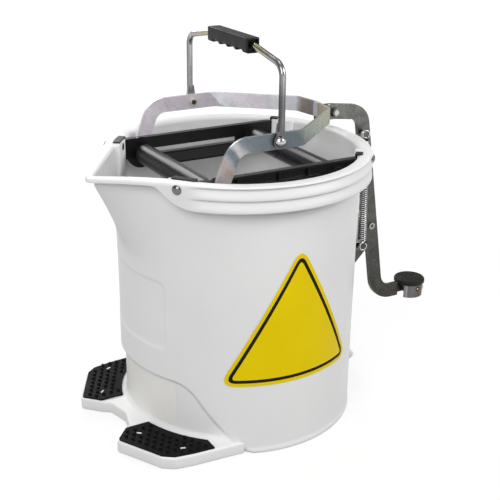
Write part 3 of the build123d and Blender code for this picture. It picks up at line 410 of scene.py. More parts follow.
finishes = {slot: polymerFinish(slot, s) for slot, s in polymerSet.items()}
finishes.update({"zinc_steel": zincFasteners, "dull_steel": leverSteel, "spring_steel": springSteel})
ownFinish = {
    "yoke": steelFinish("yokeZincPaintedSheen", yokeHueAndPaintedSheen, yokeSet["finish"]),
    "bail_handle": steelFinish("bailSteel", bailTintAndPaintedLight, bailSet["finish"]),
    "pedal_cup": steelFinish("cupSteel", cupTint, cupSet["finish"]),
    "bail_bolts": brightBolts, "clevis_pin": brightBolts, "pedal_screw": brightBolts,
    "lever_pivot_pin": steelFinish("pinHighlightRing", pinPaintedHighlight, plated),
    "rear_bracket": steelFinish("bracketSteel", bracketPaintedBright, plated),
    "rail_rivets": rivetsDarkReflection, "yoke_clevis": leverSteel, "clevis_pin_nut": leverSteel,
    "handle_grip": finishes["gripBlack"], "pedal_cap": finishes["capRubber"],
    "bail_nuts": steelFinish("nutBrassy", evenTint((0.66, 0.60, 0.40), (0.82, 0.78, 0.60)),
                             {**plated, "metal": 0.35}),
}
for name, node in nodes.items():
    node.data.materials.clear()
    node.data.materials.append(ownFinish.get(name, finishes[slotOf[name]]))
print("finishes made:", len(finishes) + len(ownFinish))


# small mesh helpers
def newPiece(name, verts, faces, slot, mat=None, sharp=None):
    mesh = bpy.data.meshes.new(name)
    mesh.from_pydata(verts, [], faces)
    mesh.update()
    mesh.polygons.foreach_set("use_smooth", [True] * len(mesh.polygons))
    piece = bpy.data.objects.new(name, mesh)
    bpy.context.collection.objects.link(piece)
    mesh.materials.append(mat or finishes[slot])
    if sharp:
        work = bmesh.new()
        work.from_mesh(mesh)
        bmesh.ops.recalc_face_normals(work, faces=work.faces)
        for edge in work.edges:
            if len(edge.link_faces) == 2 and edge.calc_face_angle(0) > math.radians(sharp):
                edge.smooth = False
        work.to_mesh(mesh)
        work.free()
    return piece


def loopFaces(rings, count):
    # faces between rings of equal length, with the two ends filled
    faces = []
    for a in range(0, (rings - 1) * count, count):
        b = a + count
        faces += [(a + i, a + (i + 1) % count, b + (i + 1) % count, b + i) for i in range(count)]
    faces.append(list(reversed(range(count))))
    faces.append([(rings - 1) * count + i for i in range(count)])
    return faces


def arcPoints(x, z, radius, turns):
    return [(x + radius * math.cos(math.radians(t)), z + radius * math.sin(math.radians(t))) for t in turns]


def smoothStep(low, high, value):
    t = min(1.0, max(0.0, (value - low) / (high - low)))
    return t * t * (3 - 2 * t)


def blendMax(a, b, width):
    h = max(width - abs(a - b), 0.0) / width
    return max(a, b) + h * h * width / 4


def tableValue(table, at):
    # smooth curve through a table of (place, value)
    if at <= table[0][0]:
        return table[0][1]
    for i in range(len(table) - 1):
        (x0, y0), (x1, y1) = table[i], table[i + 1]
        if at <= x1:
            before, after = table[max(i - 1, 0)], table[min(i + 2, len(table) - 1)]
            m0 = (y1 - before[1]) / (x1 - before[0]) * (x1 - x0) if i else 0.0
            m1 = (after[1] - y0) / (after[0] - x0) * (x1 - x0)
            t = (at - x0) / (x1 - x0)
            return ((2 * t ** 3 - 3 * t ** 2 + 1) * y0 + (t ** 3 - 2 * t ** 2 + t) * m0
                    + (3 * t ** 2 - 2 * t ** 3) * y1 + (t ** 3 - t ** 2) * m1)
    return table[-1][1]


# bucket shell: a moulded skin worked out column by column round the axis
bucketSet = {
    "rim": 300.0, "baseRadius": 130.5, "topRadius": 132.0, "wall": 3.0, "floor": 4.0,
    "lipRadius": 144.2, "lipTip": 15.0, "lipAngle": 35.0, "lipThick": 4.2,
    "mouthRadius": 129.0, "mouthTip": 4.5, "mouthAngle": 38.6,
    "spoutTip": 10.0, "spoutAngle": 37.5, "spoutLow": 206.0, "spoutTop": 287.0,
    "dip": 8.5, "dipStart": 105.0, "dipRun": 59.0,          # the spout's lip sinks towards its tip
    "bandRadius": 145.0, "bandSkin": 2.6,
    # lower edge of the skirt: how far towards the spout, how high
    "skirt": [(104.0, 273.0), (109.2, 274.0), (112.4, 275.6), (116.7, 278.3), (120.8, 283.0),
              (124.4, 288.3), (128.6, 293.9), (133.0, 295.4)],
    "louvres": [(298.2, 287.2, 3.0), (286.4, 275.0, 2.5)],  # top, foot and depth of each
    "louvreFade": [(131.5, 139.5), (30.0, 38.0)],           # degrees from the lever, beside the rivets
    "bandInset": 0.4, "bandProud": 0.5, "bandTop": 297.4, "bandSteps": 34,
    "lipRoll": 2.4, "mouthRoll": 4.0, "crown": 0.35, "floorRound": 12.0, "insideRows": 39, "dipLow": 235,
    "underside": [(100, 1.5), (118, 1.5), (121, 0.2), (123, 0.0)],
    "recessDepth": 5.0, "recessTop": 76.0, "recessFoot": 121.0, "recessLean": 0.54, "recessRound": 15.0,
    "recessEdge": (-2.4, 1.6), "panelEdge": (-0.9, 0.9),
    "panelHalf": 59.0, "panelLow": 111.0, "panelHigh": 186.0, "panelRound": 9.0, "panelDepth": 0.9,
    "footRing": 0.9, "footRingTop": 5.0, "footRingEdge": 1.2,
    "fillet": 7.0, "filletTop": 21, "filletMiddle": 13, "filletFade": (56, 64),    # wall to foot platform
    "columns": 600, "wallStep": 1.7,
}


def teardrop(phi, radius, tip, angle):
    # plan radius of a circle drawn out to a rounded tip, phi measured from the tip
    a = math.radians(angle)
    centre = (radius - tip) / math.cos(a)
    if phi >= a:
        return radius
    if phi > math.atan2(tip * math.sin(a), centre + tip * math.cos(a)):
        return radius / math.cos(a - phi)
    return centre * math.cos(phi) + math.sqrt(max(0.0, tip ** 2 - (centre * math.sin(phi)) ** 2))


def fromTip(theta):
    return abs(theta % (2 * math.pi) - math.pi)


def rimDip(s, x):
    return s["dip"] * max(0.0, (-x - s["dipStart"]) / s["dipRun"]) ** 1.5


def wallRadius(s, z):
    return s["baseRadius"] + (s["topRadius"] - s["baseRadius"]) * z / s["rim"]


def spoutRise(s, z):
    # 0 below the spout, 1 at its top, eased where it leaves the wall
    t = (z - s["spoutLow"]) / (s["spoutTop"] - s["spoutLow"])
    ease = 0.10
    if t <= -ease:
        return 0.0
    if t < ease:
        return (t + ease) ** 2 / (4 * ease)
    return min(1.0, t)


def recessShare(s, y, z):
    # 1 well inside the sunken front field, 0 on the wall around it
    side = (abs(y) - s["recessFoot"] + s["recessLean"] * z) / math.hypot(1, s["recessLean"])
    away = blendMax(z - s["recessTop"], side, s["recessRound"])
    return 1.0 - smoothStep(*s["recessEdge"], away)


def panelShare(s, y, z):
    middle = (s["panelLow"] + s["panelHigh"]) / 2
    across = abs(y) - s["panelHalf"] + s["panelRound"]
    along = abs(z - middle) - (s["panelHigh"] - s["panelLow"]) / 2 + s["panelRound"]
    away = math.hypot(max(across, 0), max(along, 0)) + min(max(across, along), 0) - s["panelRound"]
    return 1.0 - smoothStep(*s["panelEdge"], away)


def outerRadius(s, theta, z):
    # outside of the wall, with the spout, the sunken fields and the foot ring
    phi = fromTip(theta)
    plain = wallRadius(s, z)
    radius = plain + spoutRise(s, z) * (teardrop(phi, plain, s["spoutTip"], s["spoutAngle"]) - plain)
    if math.cos(theta) < 0:
        y = radius * math.sin(theta)
        radius -= s["recessDepth"] * recessShare(s, y, z)
        radius -= s["panelDepth"] * panelShare(s, y, z)
    ring, edge = s["footRingTop"], s["footRingEdge"]
    radius += s["footRing"] * (1 - smoothStep(ring - edge, ring + edge, z))
    if z < s["filletTop"]:
        fillet = s["fillet"]
        low = min(fillet, s["filletTop"] - z)
        share = 1 - smoothStep(*(math.radians(a) for a in s["filletFade"]), phi)
        radius += share * (fillet - math.sqrt(fillet ** 2 - low * low)) * (1 if z > s["filletMiddle"] else 0.5)
    return radius


def bandProfile(s, theta, z):
    # outside of the rim band: two louvres that flare downwards, faded out beside the rivets
    angle = math.degrees(abs((theta + math.pi) % (2 * math.pi) - math.pi))
    spoutEnd, leverEnd = s["louvreFade"]
    share = (1 - smoothStep(*spoutEnd, angle)) * smoothStep(*leverEnd, angle)
    depth = 0.0
    for top, low, deep in s["louvres"]:
        if low <= z <= top:
            t = (top - z) / (top - low)
            depth = deep * smoothStep(0.0, 0.16, t) * (1 - smoothStep(0.10, 0.97, t))
    return s["bandRadius"] - s["bandInset"] + share * (s["bandProud"] - depth)


def insideRadius(s, theta, z):
    plain = wallRadius(s, z) - s["wall"]
    mouth = teardrop(fromTip(theta), plain, s["mouthTip"], s["mouthAngle"])
    radius = plain + spoutRise(s, z - s["wall"]) * (mouth - plain)
    if math.cos(theta) < 0:
        radius -= s["recessDepth"] * recessShare(s, (radius + s["wall"]) * math.sin(theta), z)
    return radius


def shellColumn(s, theta):
    # closed profile of (radius, height) from the underside out, up, over the lip, down and in
    phi = fromTip(theta)
    cos = math.cos(theta)
    rim = s["rim"]
    lip = teardrop(phi, s["lipRadius"], s["lipTip"], s["lipAngle"])
    mouth = teardrop(phi, s["mouthRadius"], s["mouthTip"], s["mouthAngle"])
    points = []

    def add(radius, z, share=1.0):
        points.append((radius, z - share * rimDip(s, radius * cos)))

    base = outerRadius(s, theta, 0)
    for radius, z in s["underside"] + [(base - 1.2, 0.0), (base - 0.35, 0.3)]:
        add(radius, z, 0)
    wallTop = rim - s["lipThick"] - 0.6
    rows = int(wallTop / s["wallStep"])
    for i in range(rows + 1):
        z = 1.2 + (wallTop - 1.2) * i / rows
        add(outerRadius(s, theta, z), z, smoothStep(s["dipLow"], wallTop, z))
    # underside of the lip, the skirt's inner face and its bottom edge
    low = tableValue(s["skirt"], -lip * cos)
    skin = lip - s["bandSkin"]
    inner = outerRadius(s, theta, wallTop)
    add(inner + 0.6, wallTop + 0.5)
    add((inner + skin) / 2, wallTop + 0.6)
    add(skin - 0.5, wallTop + 0.5)
    add(skin, wallTop)
    hang = max(0.3, wallTop - low)
    for i in range(1, 5):
        add(skin, wallTop - (hang - 0.2) * i / 4)
    add(skin + 0.5, wallTop - hang)
    # outside of the band up to the lip
    grow = lip - s["lipRadius"]
    steps, first = s["bandSteps"], low + 0.35
    face = [low, first] + [first + (s["bandTop"] - low - 0.35) * i / steps for i in range(1, steps + 1)]
    for i, z in enumerate(face):
        edge = 0.9 if i == 0 else 0.25 if i == 1 else 0.0
        add(bandProfile(s, theta, z) + grow - s["bandInset"] - edge, z)
    # rolled lip, its flat crown and the turn down into the mouth
    roll, turnIn = s["lipRoll"], s["mouthRoll"]
    for radius, z in arcPoints(lip - roll, rim - roll, roll, (20, 45, 70, 90)):
        add(radius, z)
    width = lip - roll - mouth - turnIn
    for share in (0.3, 0.6, 0.85):
        add(lip - roll - width * share, rim + s["crown"] * math.sin(math.pi * share))
    for radius, z in arcPoints(mouth + turnIn, rim - turnIn, turnIn, (90, 110, 130, 150, 168, 180)):
        add(radius, z)
    # inside of the wall, following the spout, then the floor
    bend, rows = s["floorRound"], s["insideRows"]
    for i in range(1, rows + 1):
        z = rim - turnIn - (rim - 20.0 - s["floor"]) * i / rows
        add(insideRadius(s, theta, z), z, smoothStep(s["dipLow"], rim, z))
    foot = insideRadius(s, theta, s["floor"] + bend)
    for radius, z in arcPoints(foot - bend, s["floor"] + bend, bend, (-25, -50, -75, -90)):
        add(radius, z, 0)
    add(60, s["floor"], 0)
    return points


def makeShell(s):
    verts, faces = [], []
    count = s["columns"]
    for c in range(count):
        theta = 2 * math.pi * c / count
        column = shellColumn(s, theta)
        verts += [(r * math.cos(theta) * mm, r * math.sin(theta) * mm, z * mm) for r, z in column]
    rows = len(column)
    for c in range(count):
        a, b = c * rows, (c + 1) % count * rows
        faces += [(a + r, b + r, b + r + 1, a + r + 1) for r in range(rows - 1)]
    faces.append([c * rows for c in reversed(range(count))])
    faces.append([c * rows + rows - 1 for c in range(count)])
    return verts, faces


def roundedOutline(points, radii, steps=6):
    # closed outline with each corner turned on an arc
    out = []
    for i, p in enumerate(points):
        a, b, c = Vector(points[i - 1]), Vector(p), Vector(points[(i + 1) % len(points)])
        into, away = (a - b).normalized(), (c - b).normalized()
        half = into.angle(away) / 2
        reach = min(radii[i] / math.tan(half), 0.48 * min((a - b).length, (c - b).length)) if radii[i] else 0
        if not reach:
            out.append(b)
            continue
        for k in range(steps + 1):
            t = k / steps
            out.append((1 - t) ** 2 * (b + into * reach) + 2 * t * (1 - t) * b + t * t * (b + away * reach))
    return out


def slabMesh(outline, low, high, edge):
    # a plate of that outline between two heights, its edges rounded over
    curve = bpy.data.curves.new("slab", "CURVE")
    curve.dimensions = "2D"
    curve.fill_mode = "BOTH"
    curve.extrude = ((high - low) / 2 - edge) * mm
    curve.bevel_depth = edge * mm
    curve.bevel_resolution = 4
    curve.offset = -edge * mm
    line = curve.splines.new("POLY")
    line.points.add(len(outline) - 1)
    for point, p in zip(line.points, outline):
        point.co = (p[0] * mm, p[1] * mm, 0, 1)
    line.use_cyclic_u = True
    holder = bpy.data.objects.new("slab", curve)
    mesh = bpy.data.meshes.new_from_object(holder)
    mesh.transform(Matrix.Translation((0, 0, (low + high) / 2 * mm)))
    bpy.data.objects.remove(holder)
    return [tuple(v.co) for v in mesh.vertices], [list(p.vertices) for p in mesh.polygons]


# foot platform in front, with the pegs that stand up through the treads
platformSet = {
    "outline": [(180.0, 9.5), (169.8, 18.1), (168.1, 27.7), (163.5, 48.9),
                (144.7, 46.6), (140.1, 42.4), (134.5, 29.7), (115.0, 0.0)],   # degrees, reach beyond the wall
    "innerRadius": 124.2, "height": 14.0, "corner": 5.0, "edge": 2.4,
    "pegs": [(160.8, 24.0), (139.9, 23.8)], "pegTurn": 60.0,
    "pegLong": 5.6, "pegWide": 1.8, "pegLow": 9.0, "pegTop": 16.15, "pegEdge": 0.3,
}


def polar(radius, degrees):
    return (radius * math.cos(math.radians(degrees)), radius * math.sin(math.radians(degrees)))


def makePlatform(s):
    base = bucketSet["baseRadius"]
    half = [polar(base + reach, a) for a, reach in s["outline"]]
    inside = [polar(s["innerRadius"] + (1.8 if abs(a - 180) > 60 else 0), a) for a in range(117, 244, 3)]
    points = half + inside + [(x, -y) for x, y in half[:0:-1]]
    radii = [s["corner"]] * len(half) + [0] * len(inside) + [s["corner"]] * (len(half) - 1)
    radii[0] = 12
    radii[len(half) - 1] = radii[len(half) + len(inside)] = 0
    slabs = [slabMesh(roundedOutline(points, radii), 0, s["height"], s["edge"])]
    for a, reach in s["pegs"]:
        for side in (1, -1):
            x, y = polar(base + reach, a * side)
            turn = Matrix.Rotation(math.radians((a + s["pegTurn"]) * side), 2)
            long, wide = s["pegLong"] / 2, s["pegWide"] / 2
            corners = [(-long, -wide), (long, -wide), (long, wide), (-long, wide)]
            slot = [turn @ p + Vector((x, y)) for p in roundedOutline(corners, [wide * 0.9] * 4, 4)]
            slabs.append(slabMesh(slot, s["pegLow"], s["pegTop"], s["pegEdge"]))
    return slabs


# moulded pockets on the inner wall, round the riveted ends of the rails
pocketSet = {"ends": [(29.4, 43.0), (137.0, 150.6), (-43.0, -29.4), (-150.6, -137.0)],    # degrees
             "inner": 125.4, "outer": 130.0, "low": 222.0, "top": 299.6, "edge": 1.2, "steps": 8}


def makePockets(s):
    slabs = []
    for start, end in s["ends"]:
        rings = []
        for k in range(s["steps"] + 1):
            inset = s["edge"] if k in (0, s["steps"]) else 0.0
            angle = start + (end - start) * (k / s["steps"])
            inner, low, top = s["inner"] + inset, s["low"] + inset, s["top"] - inset
            section = [(s["outer"], low - 6), (inner + 0.8, low), (inner, low + 3),
                       (inner, top - 0.8), (inner + 0.8, top), (s["outer"] + 3, top)]
            rings += [(*(v * mm for v in polar(radius, angle)), z * mm) for radius, z in section]
        slabs.append((rings, loopFaces(s["steps"] + 1, len(section))))
    return slabs


# hold for the hand low on the rear wall
holdSet = {"root": 128.3, "reach": 22.5, "height": 27.0, "halfAngle": 11.7, "columns": 18}


def makeHold(s):
    h, reach, root, base = s["height"], s["reach"], s["root"], bucketSet["baseRadius"]
    profile = roundedOutline([(root, h + reach * 0.8), (base + reach * 0.7, h + reach * 0.35), (base + reach, h),
                              (base + reach * 0.85, h - reach * 0.12), (base + reach * 0.35, h - reach * 0.45),
                              (root, h - reach)], [0.5, 8, 4, 4, 8, 0.5], 4)
    verts = []
    for c in range(s["columns"] + 1):
        t = 2 * c / s["columns"] - 1
        theta = math.radians(s["halfAngle"]) * t
        squeeze = 0.86 + 0.14 * math.sqrt(max(0.0, 1 - abs(t) ** 9))
        for p in profile:
            radius = root + (p.x - root) * squeeze
            z = h - 2 + (p.y - h + 2) * squeeze
            verts.append((radius * math.cos(theta) * mm, radius * math.sin(theta) * mm, z * mm))
    return verts, loopFaces(s["columns"] + 1, len(profile))


def makeBucket():
    verts, faces = makeShell(bucketSet)
    for moreVerts, moreFaces in [makeHold(holdSet)] + makePlatform(platformSet) + makePockets(pocketSet):
        start = len(verts)
        verts += moreVerts
        faces += [[i + start for i in face] for face in moreFaces]
    bucket = newPiece("bucketShell", verts, faces, "white_plastic", sharp=50)
    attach(bucket, "bucket")
    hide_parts("bucket")


makeBucket()
print("bucket shell built")


# stickers: a plain yellow triangle with a dark line, and a blank paper label
stickerSet = {
    "corners": [(-90.0, 231.2), (-54.3, 81.3), (-127.3, 80.4)],    # degrees round the bucket, mm up
    "round": 11.0, "margin": 3.8, "line": 3.7, "lift": 0.4, "cornerSteps": 8, "sideParts": 22,
    "yellow": (0.88, 0.66, 0.001), "dark": (0.012, 0.011, 0.006),
}


def plasticFilm(name, colour, rough, gloss):
    mat, tree, shader, place = startMaterial(name, **{"Specular IOR Level": gloss})
    cloud = addNoise(tree, place, 22, 3, 0.5)
    tint = addRamp(tree, cloud, [(0.3, [c * 0.94 for c in colour]), (0.7, colour)])
    tree.links.new(tint, shader.inputs["Base Color"])
    roughFrom(tree, shader, addNoise(tree, place, 60, 4), rough, rough + 0.12, 0.8)
    crease = addNoise(tree, place, 30, 2, 0.4)
    softEdges(tree, shader, 0.0002, [(crease, 0.10, 0.0015)])
    return mat


def onWall(theta, z, lift):
    radius = outerRadius(bucketSet, theta, z) + lift
    return (radius * math.cos(theta) * mm, radius * math.sin(theta) * mm, z * mm)


def makeTriangle(s):
    wall = bucketSet["topRadius"]
    flat = [(wall * math.radians(a), z) for a, z in s["corners"]]
    sides = [(Vector(flat[i]) - Vector(flat[i - 1])).length for i in range(3)]
    total = sum(sides)
    # the centre of the triangle's inner circle is where all insets shrink to
    centre = sum((Vector(flat[i]) * sides[(i + 2) % 3] for i in range(3)), Vector((0, 0))) / total
    a, b, c = (Vector(p) for p in flat)
    inner = abs((b - a).cross(c - a)) / total
    rings = []
    for inset in (0.0, s["margin"], s["margin"] + s["line"]):
        share = 1 - inset / inner
        points = [tuple(centre + (Vector(p) - centre) * share) for p in flat]
        loop = roundedOutline(points, [max(3.5, s["round"] - inset)] * 3, s["cornerSteps"])
        dense = []
        for i, p in enumerate(loop):
            q = loop[(i + 1) % len(loop)]
            parts = 1 if (i + 1) % (s["cornerSteps"] + 1) else s["sideParts"]
            dense += [p + (q - p) * k / parts for k in range(parts)]
        rings.append(dense)
    last = rings[-1]
    for share in (0.8, 0.6, 0.4, 0.2, 0.05):
        rings.append([centre + (p - centre) * share for p in last])
    count = len(last)
    verts = [onWall(p.x / wall, p.y, s["lift"]) for ring in rings for p in ring]
    faces = loopFaces(len(rings), count)
    del faces[-2]
    kinds = [1 if count <= i < 2 * count else 0 for i in range(len(faces))]
    yellow = plasticFilm("stickerYellow", s["yellow"], 0.34, 0.12)
    piece = newPiece("yellowSticker", verts, faces, "white_plastic", yellow)
    piece.data.materials.append(plasticFilm("stickerDark", s["dark"], 0.5, 0.06))
    piece.data.polygons.foreach_set("material_index", kinds)
    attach(piece, "bucket")


makeTriangle(stickerSet)

labelSet = {"span": (160.0, 211.0), "low": 22.5, "high": 71.0, "lift": 0.2, "columns": 30, "rows": 14,
            "paper": (0.90, 0.89, 0.85)}


def makeLabel(s):
    verts, faces = [], []
    for c in range(s["columns"] + 1):
        theta = math.radians(s["span"][0] + (s["span"][1] - s["span"][0]) * c / s["columns"])
        for r in range(s["rows"] + 1):
            z = s["low"] + (s["high"] - s["low"]) * r / s["rows"]
            verts.append(onWall(theta, z, s["lift"]))
    for c in range(s["columns"]):
        for r in range(s["rows"]):
            a = c * (s["rows"] + 1) + r
            faces.append((a, a + s["rows"] + 1, a + s["rows"] + 2, a + 1))
    paper = plasticFilm("labelPaper", s["paper"], 0.5, 0.3)
    piece = newPiece("blankLabel", verts, faces, "white_plastic", paper)
    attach(piece, "bucket")


makeLabel(labelSet)
print("stickers laid on")


# grip: a square black handle with finger waves underneath and a pocket round the rod at each end
gripSet = {
    "middle": (-6.7, 414.5), "half": 41.8, "halfWide": 7.5, "top": 7.5, "bottom": 8.0,
    "topRound": 1.3, "bottomRound": 3.0, "lobes": 5, "waveDepth": 2.8,
    "endRound": 1.4, "border": 1.7, "pocket": 4.5, "stations": 150,
}


def gripSection(s, y, shrink):
    # outline across the grip at one place along it
    pitch = 2 * s["half"] / s["lobes"]
    ball = (pitch ** 2 / 4 * 0.8 + s["waveDepth"] ** 2) / (2 * s["waveDepth"])
    near = min(abs(y - (i - (s["lobes"] - 2) / 2) * pitch) for i in range(s["lobes"] - 1))
    wave = max(0.0, math.sqrt(max(0.0, ball ** 2 - near ** 2)) - ball + s["waveDepth"])
    wide, top = s["halfWide"] - shrink, s["top"] - shrink
    low = -s["bottom"] + wave + shrink
    corners = [(-wide, low), (wide, low), (wide, top), (-wide, top)]
    return roundedOutline(corners, [s["bottomRound"], s["bottomRound"], s["topRound"], s["topRound"]], 6)


def makeGrip(s):
    rings = []
    x, z = s["middle"]

    def add(y, points):
        rings.append([((x + p[0]) * mm, y * mm, (z + p[1]) * mm) for p in points])

    def pocketRing(y, grow):
        outline = gripSection(s, y, s["border"])
        add(y, [p * grow for p in outline])

    half = s["half"]
    pocketRing(-half + s["pocket"], 0.42)
    pocketRing(-half + s["pocket"], 0.94)
    pocketRing(-half + 0.4, 0.99)
    for degrees in (0, 30, 60, 90):
        a = math.radians(degrees)
        y = -half + s["endRound"] * (1 - math.cos(a))
        add(y, gripSection(s, y, s["endRound"] * (1 - math.sin(a))))
    endRings = len(rings)
    for i in range(1, s["stations"]):
        y = -half + s["endRound"] + (2 * half - 2 * s["endRound"]) * i / s["stations"]
        add(y, gripSection(s, y, 0.0))
    rings += [[(px, -py, pz) for px, py, pz in ring] for ring in reversed(rings[:endRings])]
    verts = [v for ring in rings for v in ring]
    piece = newPiece("handleGrip", verts, loopFaces(len(rings), len(rings[0])), "black_plastic",
                     finishes["gripBlack"], sharp=40)
    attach(piece, "bail")
    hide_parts("handle_grip")


makeGrip(gripSet)
print("grip shaped")


# return spring: close wound wire with a hook round each stud
springSet = {
    "low": (165.2, -9.85, 157.5), "high": (160.46, -9.85, 297.0), "coil": 4.3, "wire": 0.98, "turns": 48.5,
    "eye": 1.05, "lead": 7.5, "open": 60, "perTurn": 20, "sides": 8, "apart": 2.0,
    "bend": (0.05, 0.55), "shadeReach": 0.35,       # where along it the bend runs, and how far out from the coil the wire is painted dark as shade
}


def springLine(s):
    low, high = Vector(s["low"]), Vector(s["high"])
    up = (high - low).normalized()
    out, away = Vector((up.z, 0, -up.x)), Vector((0, 1, 0))
    length, a = (high - low).length, s["coil"]
    lowEye, highEye = s["eye"], length - s["eye"]
    start, end = lowEye + s["lead"], highEye - s["lead"]
    line = []

    def add(x, y, z):
        line.append(low + out * x + away * y + up * z)

    def ease(p, v, q, w):
        # a smooth lead from the hook into the coil
        for k in range(1, 12):
            t = k / 12
            h = ((1 + 2 * t) * (1 - t) ** 2, t * (1 - t) ** 2, t * t * (3 - 2 * t), t * t * (t - 1))
            add(*(h[0] * p[i] + h[1] * v[i] + h[2] * q[i] + h[3] * w[i] for i in range(3)))

    for degrees in range(s["open"] + 360, -181, -10):
        turn = math.radians(degrees)
        add(a * math.cos(turn), -s["apart"] * (degrees + 180) / 360, lowEye + a * math.sin(turn))
    ease((-a, 0, lowEye), (0, 0, 10), (0, -a, start), (10, 0, 1))
    count = int(s["turns"] * s["perTurn"])
    for k in range(count + 1):
        turn = 2 * math.pi * k / s["perTurn"] - math.pi / 2
        add(a * math.cos(turn), a * math.sin(turn), start + (end - start) * k / count)
    ease((0, a, end), (-10, 0, 1), (-a, 0, highEye), (0, 0, 10))
    for degrees in range(180, -s["open"] - 361, -10):
        turn = math.radians(degrees)
        add(a * math.cos(turn), -s["apart"] * (180 - degrees) / 360, highEye + a * math.sin(turn))
    return line


def tubeAlong(line, radius, sides):
    verts, side = [], None
    for i, p in enumerate(line):
        ahead = (line[min(i + 1, len(line) - 1)] - line[max(i - 1, 0)]).normalized()
        side = ahead.orthogonal() if side is None else side
        side = (side - ahead * side.dot(ahead)).normalized()
        other = ahead.cross(side)
        for k in range(sides):
            a = 2 * math.pi * k / sides
            verts.append((p + (side * math.cos(a) + other * math.sin(a)) * radius) * mm)
    return verts, loopFaces(len(line), sides)


def makeSpring(s):
    verts, faces = tubeAlong(springLine(s), s["wire"], s["sides"])
    piece = newPiece("springWire", verts, faces, "spring_steel")
    # the inward side of each coil is painted dark as shade between the turns
    piece.data.materials.append(springGapShade)
    low, high, lead = Vector(s["low"]) * mm, Vector(s["high"]) * mm, s["lead"] * mm
    span = Vector(s["high"]) - Vector(s["low"])
    run, length = span.normalized(), span.length * mm
    for face in piece.data.polygons:
        away = face.center - low
        along = away.dot(run)
        inward = (away - run * along).length < (s["coil"] + s["shadeReach"] * s["wire"]) * mm
        face.material_index = 1 if inward and lead < along < length - lead else 0
    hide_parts("return_spring")
    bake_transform(piece)


makeSpring(springSet)
print("spring wound")


# pedal cap: a rubber disc with curved ribs on two sides and plain wedges between them, on a short stem
capSet = {
    "x": 249.5, "low": 92.3, "top": 98.3, "radius": 19.0, "topRound": 2.4, "lowRound": 1.2,
    "stemRadius": 14.9, "stemLow": 83.3, "ribTurn": -29.5, "ribPitch": 3.1, "ribHeight": 0.55,
    "ribFrom": 4.0, "ribTo": 16.4, "ribHalf": 52.0, "columns": 120, "rings": 44,
}


def capRelief(s, radius, degrees):
    # depth of the pattern below the top at one place
    turn = abs((degrees - s["ribTurn"] + 90) % 180 - 90)
    if not s["ribFrom"] < radius < s["ribTo"]:
        return 0.0
    fade = smoothStep(s["ribHalf"] + 3, s["ribHalf"] - 3, turn)
    wave = 0.5 - 0.5 * math.cos(2 * math.pi * (radius - s["ribFrom"]) / s["ribPitch"])
    groove = 1 - smoothStep(1.0, 4.0, abs(turn - s["ribHalf"]))
    return s["ribHeight"] * max(fade * smoothStep(0.15, 0.85, wave), 0.8 * groove)


def makeCap(s):
    stem, radius, top, low = s["stemRadius"], s["radius"], s["topRound"], s["lowRound"]
    profile = [(stem - 0.6, s["stemLow"]), (stem, s["stemLow"] + 0.6), (stem, s["low"])]
    profile += arcPoints(radius - low, s["low"] + low, low, (-90, -60, -30, 0))
    profile += arcPoints(radius - top, s["top"] - top, top, (0, 20, 40, 60, 75, 90))
    for i in range(1, s["rings"]):
        profile.append(((radius - top) * (1 - i / s["rings"]), s["top"]))
    verts = []
    for radius, z in profile:
        for c in range(s["columns"]):
            degrees = 360 * c / s["columns"]
            x, y = polar(radius, degrees)
            sink = capRelief(s, radius, degrees) if z >= s["top"] - 0.01 else 0.0
            verts.append(((s["x"] + x) * mm, y * mm, (z - sink) * mm))
    piece = newPiece("pedalCapRubber", verts, loopFaces(len(profile), s["columns"]), "black_rubber",
                     finishes["capRubber"], sharp=45)
    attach(piece, "lever")
    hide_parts("pedal_cap")


makeCap(capSet)
print("pedal cap ribbed")


# floor and soft studio light
stageSet = {"floor": 0.24, "glow": (0.76, 0.90), "glowReach": (0.6, 3.0), "sky": (0.40, 0.44),
            "seenSky": [(0.0, 1.0), (0.08, 1.0), (0.22, 0.28), (0.7, 0.28), (1.0, 0.6)]}


def seenRays(tree):
    path = addNode(tree, "LightPath").outputs
    seen = addMath(tree, "MAXIMUM", path["Is Camera Ray"], path["Is Glossy Ray"])
    return addMath(tree, "MAXIMUM", seen, path["Is Transmission Ray"])


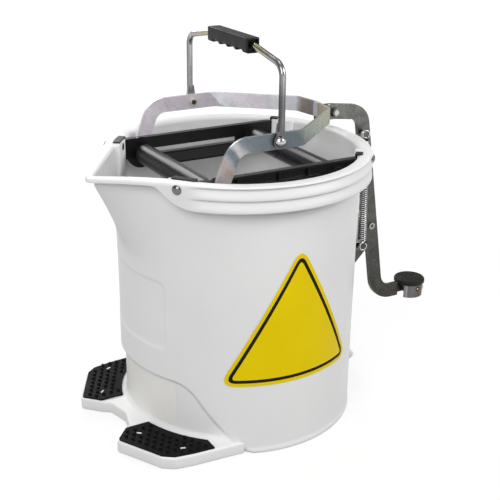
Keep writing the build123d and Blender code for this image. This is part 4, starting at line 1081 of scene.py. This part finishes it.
def makeStage(s):
    bpy.ops.mesh.primitive_plane_add(size=30)
    floor = bpy.context.object
    floor.name = "studioFloor"
    mat, tree, shader, place = startMaterial("studioFloor", **{
        "Base Color": (*grey(s["floor"]), 1), "Roughness": 0.9, "Specular IOR Level": 0.0,
        "Emission Color": (1, 1, 1, 1)})
    # the floor stays white out to the horizon, where the lamps fall off
    glow = addSpan(tree, addVector(tree, "LENGTH", place), *s["glowReach"], *s["glow"])
    tree.links.new(addMath(tree, "MULTIPLY", seenRays(tree), glow), shader.inputs["Emission Strength"])
    floor.data.materials.append(mat)
    world = bpy.data.worlds.new("softSky")
    bpy.context.scene.world = world
    world.use_nodes = True
    tree = world.node_tree
    where = addNode(tree, "TexCoord").outputs["Generated"]
    height = addNode(tree, "SeparateXYZ", {"Vector": where}).outputs["Z"]
    lit = addRamp(tree, height, [(0.05, grey(s["sky"][0])), (0.8, grey(s["sky"][1]))])
    seen = addRamp(tree, height, [(at, grey(level)) for at, level in s["seenSky"]])
    tree.links.new(mixColour(tree, seenRays(tree), lit, seen), tree.nodes["Background"].inputs["Color"])


lightSet = {
    "leftKey": {"place": (-2.15, -1.75, 2.0), "aim": (0, 0, 0.25), "size": 2.2, "watts": 59},
    "rightKey": {"place": (1.75, -1.75, 1.6), "aim": (0, 0, 0.25), "size": 1.2, "watts": 32},
    "overhead": {"place": (0.0, 0.05, 2.4), "aim": (0, 0, 0.2), "size": 0.8, "watts": 5},
    "backBox": {"place": (0.08, 1.9, 1.45), "aim": (0, 0, 0.25), "size": 1.2, "watts": 20},
}


def makeLights(lamps):
    for name, s in lamps.items():
        data = bpy.data.lights.new(name, "AREA")
        data.shape = "SQUARE"
        data.size = s["size"]
        data.energy = s["watts"]
        lamp = bpy.data.objects.new(name, data)
        lamp.location = s["place"]
        lamp.rotation_euler = (Vector(s["aim"]) - Vector(s["place"])).to_track_quat("-Z", "Y").to_euler()
        bpy.context.collection.objects.link(lamp)


makeStage(stageSet)
makeLights(lightSet)
bpy.context.scene.view_settings.view_transform = "Standard"
print("stage lit")
